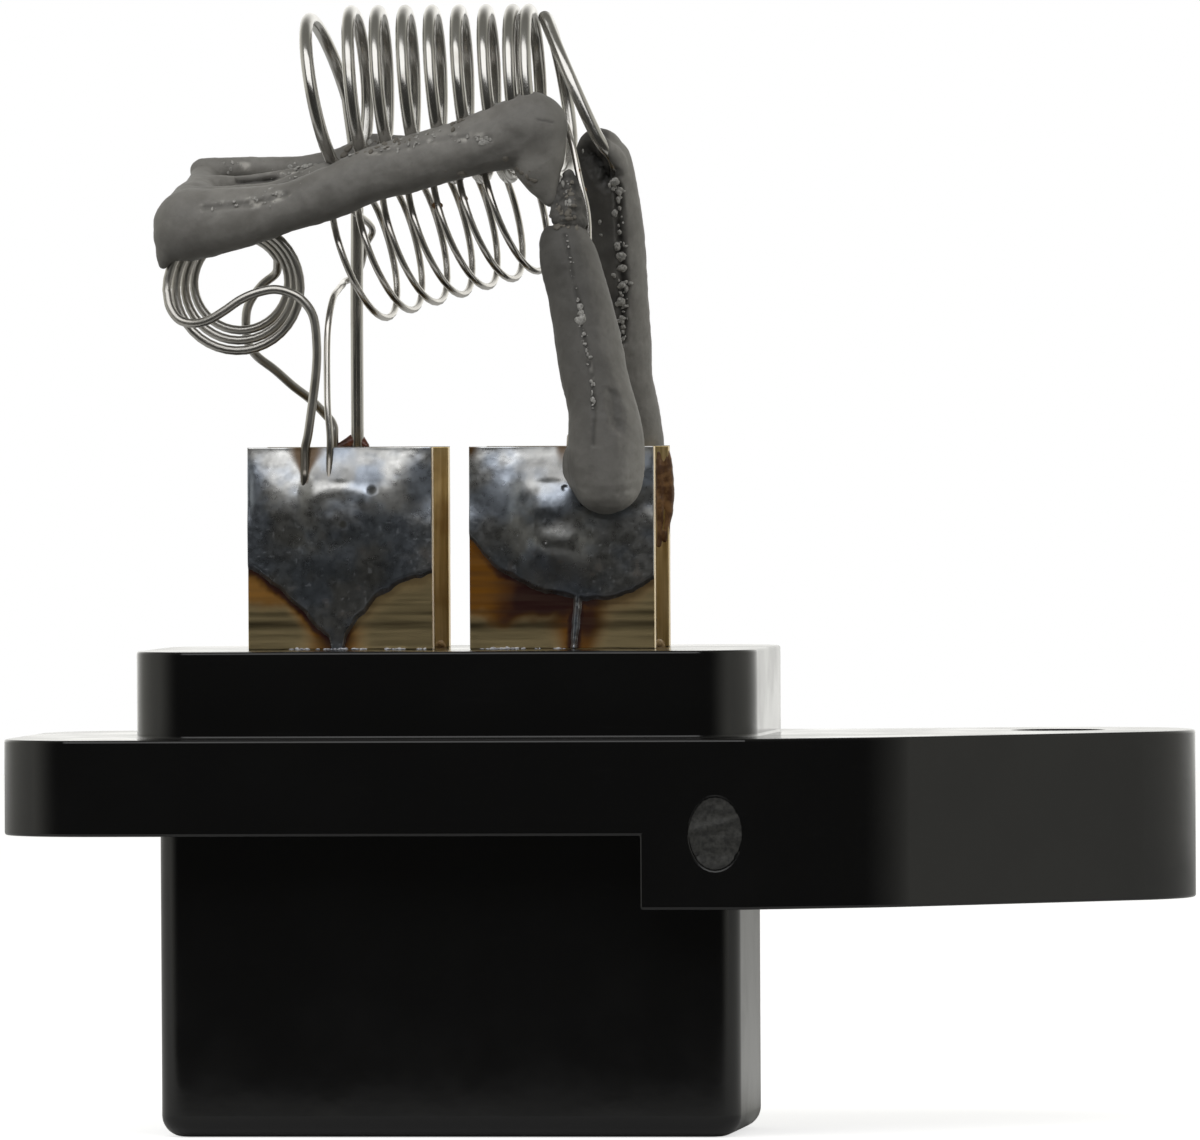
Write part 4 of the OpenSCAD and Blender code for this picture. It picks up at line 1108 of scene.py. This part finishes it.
class Face:
    """One plate's face as a grid, with the noises that its solder and its stain share."""

    def __init__(self, name, step=0.07):
        x = np.linspace(-PLATE_HALF + 0.01, PLATE_HALF - 0.01, round(2 * PLATE_HALF / step))
        z = np.linspace(0.02 - PLATE_DEEP, 0.02, round(PLATE_DEEP / step))
        self.name, self.number = name, PLACES.index(name)
        self.x, self.z = np.meshgrid(x, z)
        self.mottle, self.fleck = self.noise(1.6, 50), self.noise(0.4, 60)
        inside = self.z - along(self.x, FOOT_LINES[name])
        if name == "front_right":
            tail = 0.23 + 0.05 * self.noise(0.7, 39) - np.abs(self.x - tail_middle(self.z))
            inside = np.maximum(inside, np.clip(1.8 * tail, -9, 0.4))
        self.wander = inside + 0.16 * self.noise(0.9, 70)

    def noise(self, size, seed, octaves=3, spread=1):
        """Soft noise over the face, drawn out sideways where spread is less than one."""
        flat = np.stack([spread * self.x.ravel(), np.zeros(self.x.size), self.z.ravel()], axis=1)
        return fuzz(flat, size, seed + self.number, octaves).reshape(self.x.shape)

    def lay(self, name, height, tint, mat, nodes=(), sink=0.05):
        """A sheet of the given height on this face."""
        centre = LEFT_X if self.name.endswith("left") else RIGHT_X
        side = -1 if self.name.startswith("front") else 1
        v, f = sheet_mesh(self.x, self.z, height, centre, side, sink)
        piece(name + self.name, v, f, mat, nodes, np.concatenate([tint.reshape(-1, 4)] * 2))


def solder_tint(face):
    """Mottled tin with painted shade lower down, painted highlight and shade above the straps, brown edges,
    pits, frosted flanks and dust; alpha is how metallic it is.
    """
    gx, gz, mottle, fleck = face.x, face.z, face.mottle, face.fleck
    tint = np.ones(gx.shape + (4,))
    tint[..., :3] = 0.47, 0.52, 0.6
    toward(tint, [0.56, 0.56, 0.55], ease(0.5 + 1.1 * mottle))
    dim(tint, 1 - 0.2 * ease((fleck - 0.1) / 0.5) + 0.14 * ease((-0.1 - fleck) / 0.5))
    # Painted shade: the solder darker below the top.
    dim(tint, 1 - 0.42 * ease((-1.6 - gz + 0.5 * mottle) / 2.6))
    # Painted highlight and shade in bands above the strap.
    if face.name in PAINTED_SHEEN_BANDS:
        x, wide, rows = PAINTED_SHEEN_BANDS[face.name]
        sheen_and_thickness = along(-gz + 0.15 * mottle, rows) - 1
        dim(tint, 1 + sheen_and_thickness * ease((wide - np.abs(gx - x + 0.2 * fleck)) / 0.9))
    brown = ease((0.42 - face.wander) / 0.42) * np.clip(0.5 + 0.7 * face.noise(1.4, 66), 0.1, 0.85)
    brown = np.maximum(brown, 0.35 * ease((face.noise(0.7, 65) - 0.3) / 0.4) * ease((-4.5 - gz) / 2))
    if face.name == "front_left":
        cone = np.abs(gx + 1.85) / (0.16 + 0.48 * ease((gz + 1.7) / 1.7))
        brown = np.maximum(brown, ease(1.7 - 0.9 * cone) * ease((gz + 2.1) / 0.4))
    if face.name == "front_right":
        brown = np.maximum(brown, oval(gx, gz, -5.1, 0, 0.6, 0.8, 1.3))
        brown = np.maximum(brown, 0.9 * oval(gx, gz, 0.1, 0.1, 0.4, 0.9, 1.3))
    brown = np.clip(brown, 0, 1)
    toward(tint, [0.11, 0.06, 0.02], brown)
    pits = -sum((dimple(gx, gz, x, z, 0.3, 1) for x, z in PITS.get(face.name, ())), 0 * gx)
    toward(tint, [0.03, 0.028, 0.018], np.clip(pits, 0, 0.9))
    tint[..., 3] = 1 - np.maximum(0.75 * brown, np.clip(0.8 * pits, 0, 1))
    dull = sum(oval(gx, gz, *flank, 1.15) for flank in DULL.get(face.name, ()))
    tint[..., 3] *= 1 - 0.34 * np.clip(dull + 0.25 * mottle * dull, 0, 1)
    dust = ease((face.noise(0.18, 95, 1) - 0.47) / 0.08) * ease((-2.4 - gz) / 2)
    toward(tint, [0.4, 0.42, 0.45], 0.4 * dust)
    tint[..., 3] *= 1 - 0.3 * dust
    return tint


def stain_tint(face):
    """Streaked brass with rolled lines, under amber and dark flux; alpha is how metallic it is."""
    gx, gz, mottle = face.x, face.z, face.mottle
    streak = face.noise(0.3, 80, 3, 0.06)
    uneven = 0.75 + 0.5 * face.noise(0.5, 90, 3, 0.15)
    rolled = ((8.6, 0.09, 0.3), (9.1, 0.12, 0.5), (9.75, 0.34, 0.8), (10.35, 0.08, 0.15))
    lines = uneven * sum(depth * ease(1.2 - np.abs(gz + z) / wide) for z, wide, depth in rolled)
    near = np.clip(-face.wander, 0, 9)
    flux = ease(1.1 - near / 1.1 + 0.3 * mottle)
    deep = ease(1.2 - near / 0.5 + 0.3 * face.fleck)
    amber = [0.22, 0.088, 0.009]
    if face.name == "front_left":
        amber = [0.3, 0.125, 0.011]
        flux = flux * (0.3 + 0.7 * ease((0.9 - gx) / 1.0))
        drip = ease(1.3 - np.abs(gx + 0.2) / (1.7 + 0.4 * mottle)) * ease((-9.3 - gz) / 0.8)
        left = ease((-2.3 - gx) / 1.2) * ease((gz + 9.1 + 0.5 * mottle) / 0.9)
        flux = np.maximum(np.maximum(flux, 0.95 * drip), 0.9 * left)
        deep = np.maximum(deep, oval(gx, gz, -0.3, -10.5, 1.4, 1.0, 1.3))
    if face.name == "front_right":
        left = ease((2.6 - gx) / 1.2) * ease((gz + 10.2 + 0.7 * mottle) / 1.2)
        round_tail = ease(1.35 - np.abs(gx - 0.85) / (1.25 + 0.35 * (gz + 11)))
        flux = np.maximum(np.maximum(flux * 0.5, left), round_tail)
        deep = np.maximum(deep, oval(gx, gz, -0.9, -8.3, 2.9, 1.7, 1.5 + 0.3 * mottle))
        deep = deep * (0.3 + 0.7 * ease((gx + 4.7) / 1.5))
        deep = np.maximum(deep, 0.9 * oval(gx, gz, 1.5, -9.6, 1.1, 1.3, 1.3))
    tint = np.ones(gx.shape + (4,))
    tint[..., :3] = 0.68, 0.54, 0.29
    dim(tint, (0.94 + 0.14 * streak) * (1 - np.clip(lines, 0, 0.75)))
    glaze = np.array(amber) * (1 - 0.5 * np.clip(lines, 0, 1) + 0.3 * streak)[..., None]
    toward(tint, glaze, flux)
    toward(tint, [0.036, 0.011, 0.003], np.clip(flux * deep, 0, 1))
    tint[..., :3] = np.clip(tint[..., :3], 0.01, 1)
    tint[..., 3] = 1 - 0.85 * flux
    return tint


def lay_solder():
    solder, skin = make_solder(), make_skin()
    for name in PLACES:
        face = Face(name)
        gx, gz = face.x, face.z
        if name == "front_left":
            h = front_left_height(gx, gz)
        elif name == "front_right":
            h = front_right_height(gx, gz)
        else:
            h = rear_height(gx, gz, 0.45 if name == "rear_left" else 0.8)
        h = (h + 0.016 * face.mottle + 0.006 * face.fleck) * ease(face.wander / 0.4 + 0.1)
        h = h - 0.04 * ease(0.5 - face.wander / 0.1)
        face.lay("solder_sheet_", h, solder_tint(face), solder, ["solder_" + name])
        sheen_and_thickness = np.full(gx.shape, 0.012)
        face.lay("tarnish_", sheen_and_thickness, stain_tint(face), skin, sink=0.03)


point_camera()
light_room()
lay_floor()
shading = soft_shading()
EAR_BEND = (24.45, -9.03)
dress("housing", make_plastic(), 0.15, shading, EAR_BEND)
lay_gate()
brass = make_brass()
for place in PLACES:
    dress("terminal_" + place, brass, 0.05, shading)
lay_wires()
lay_cement()
lay_solder()
lay_flux()
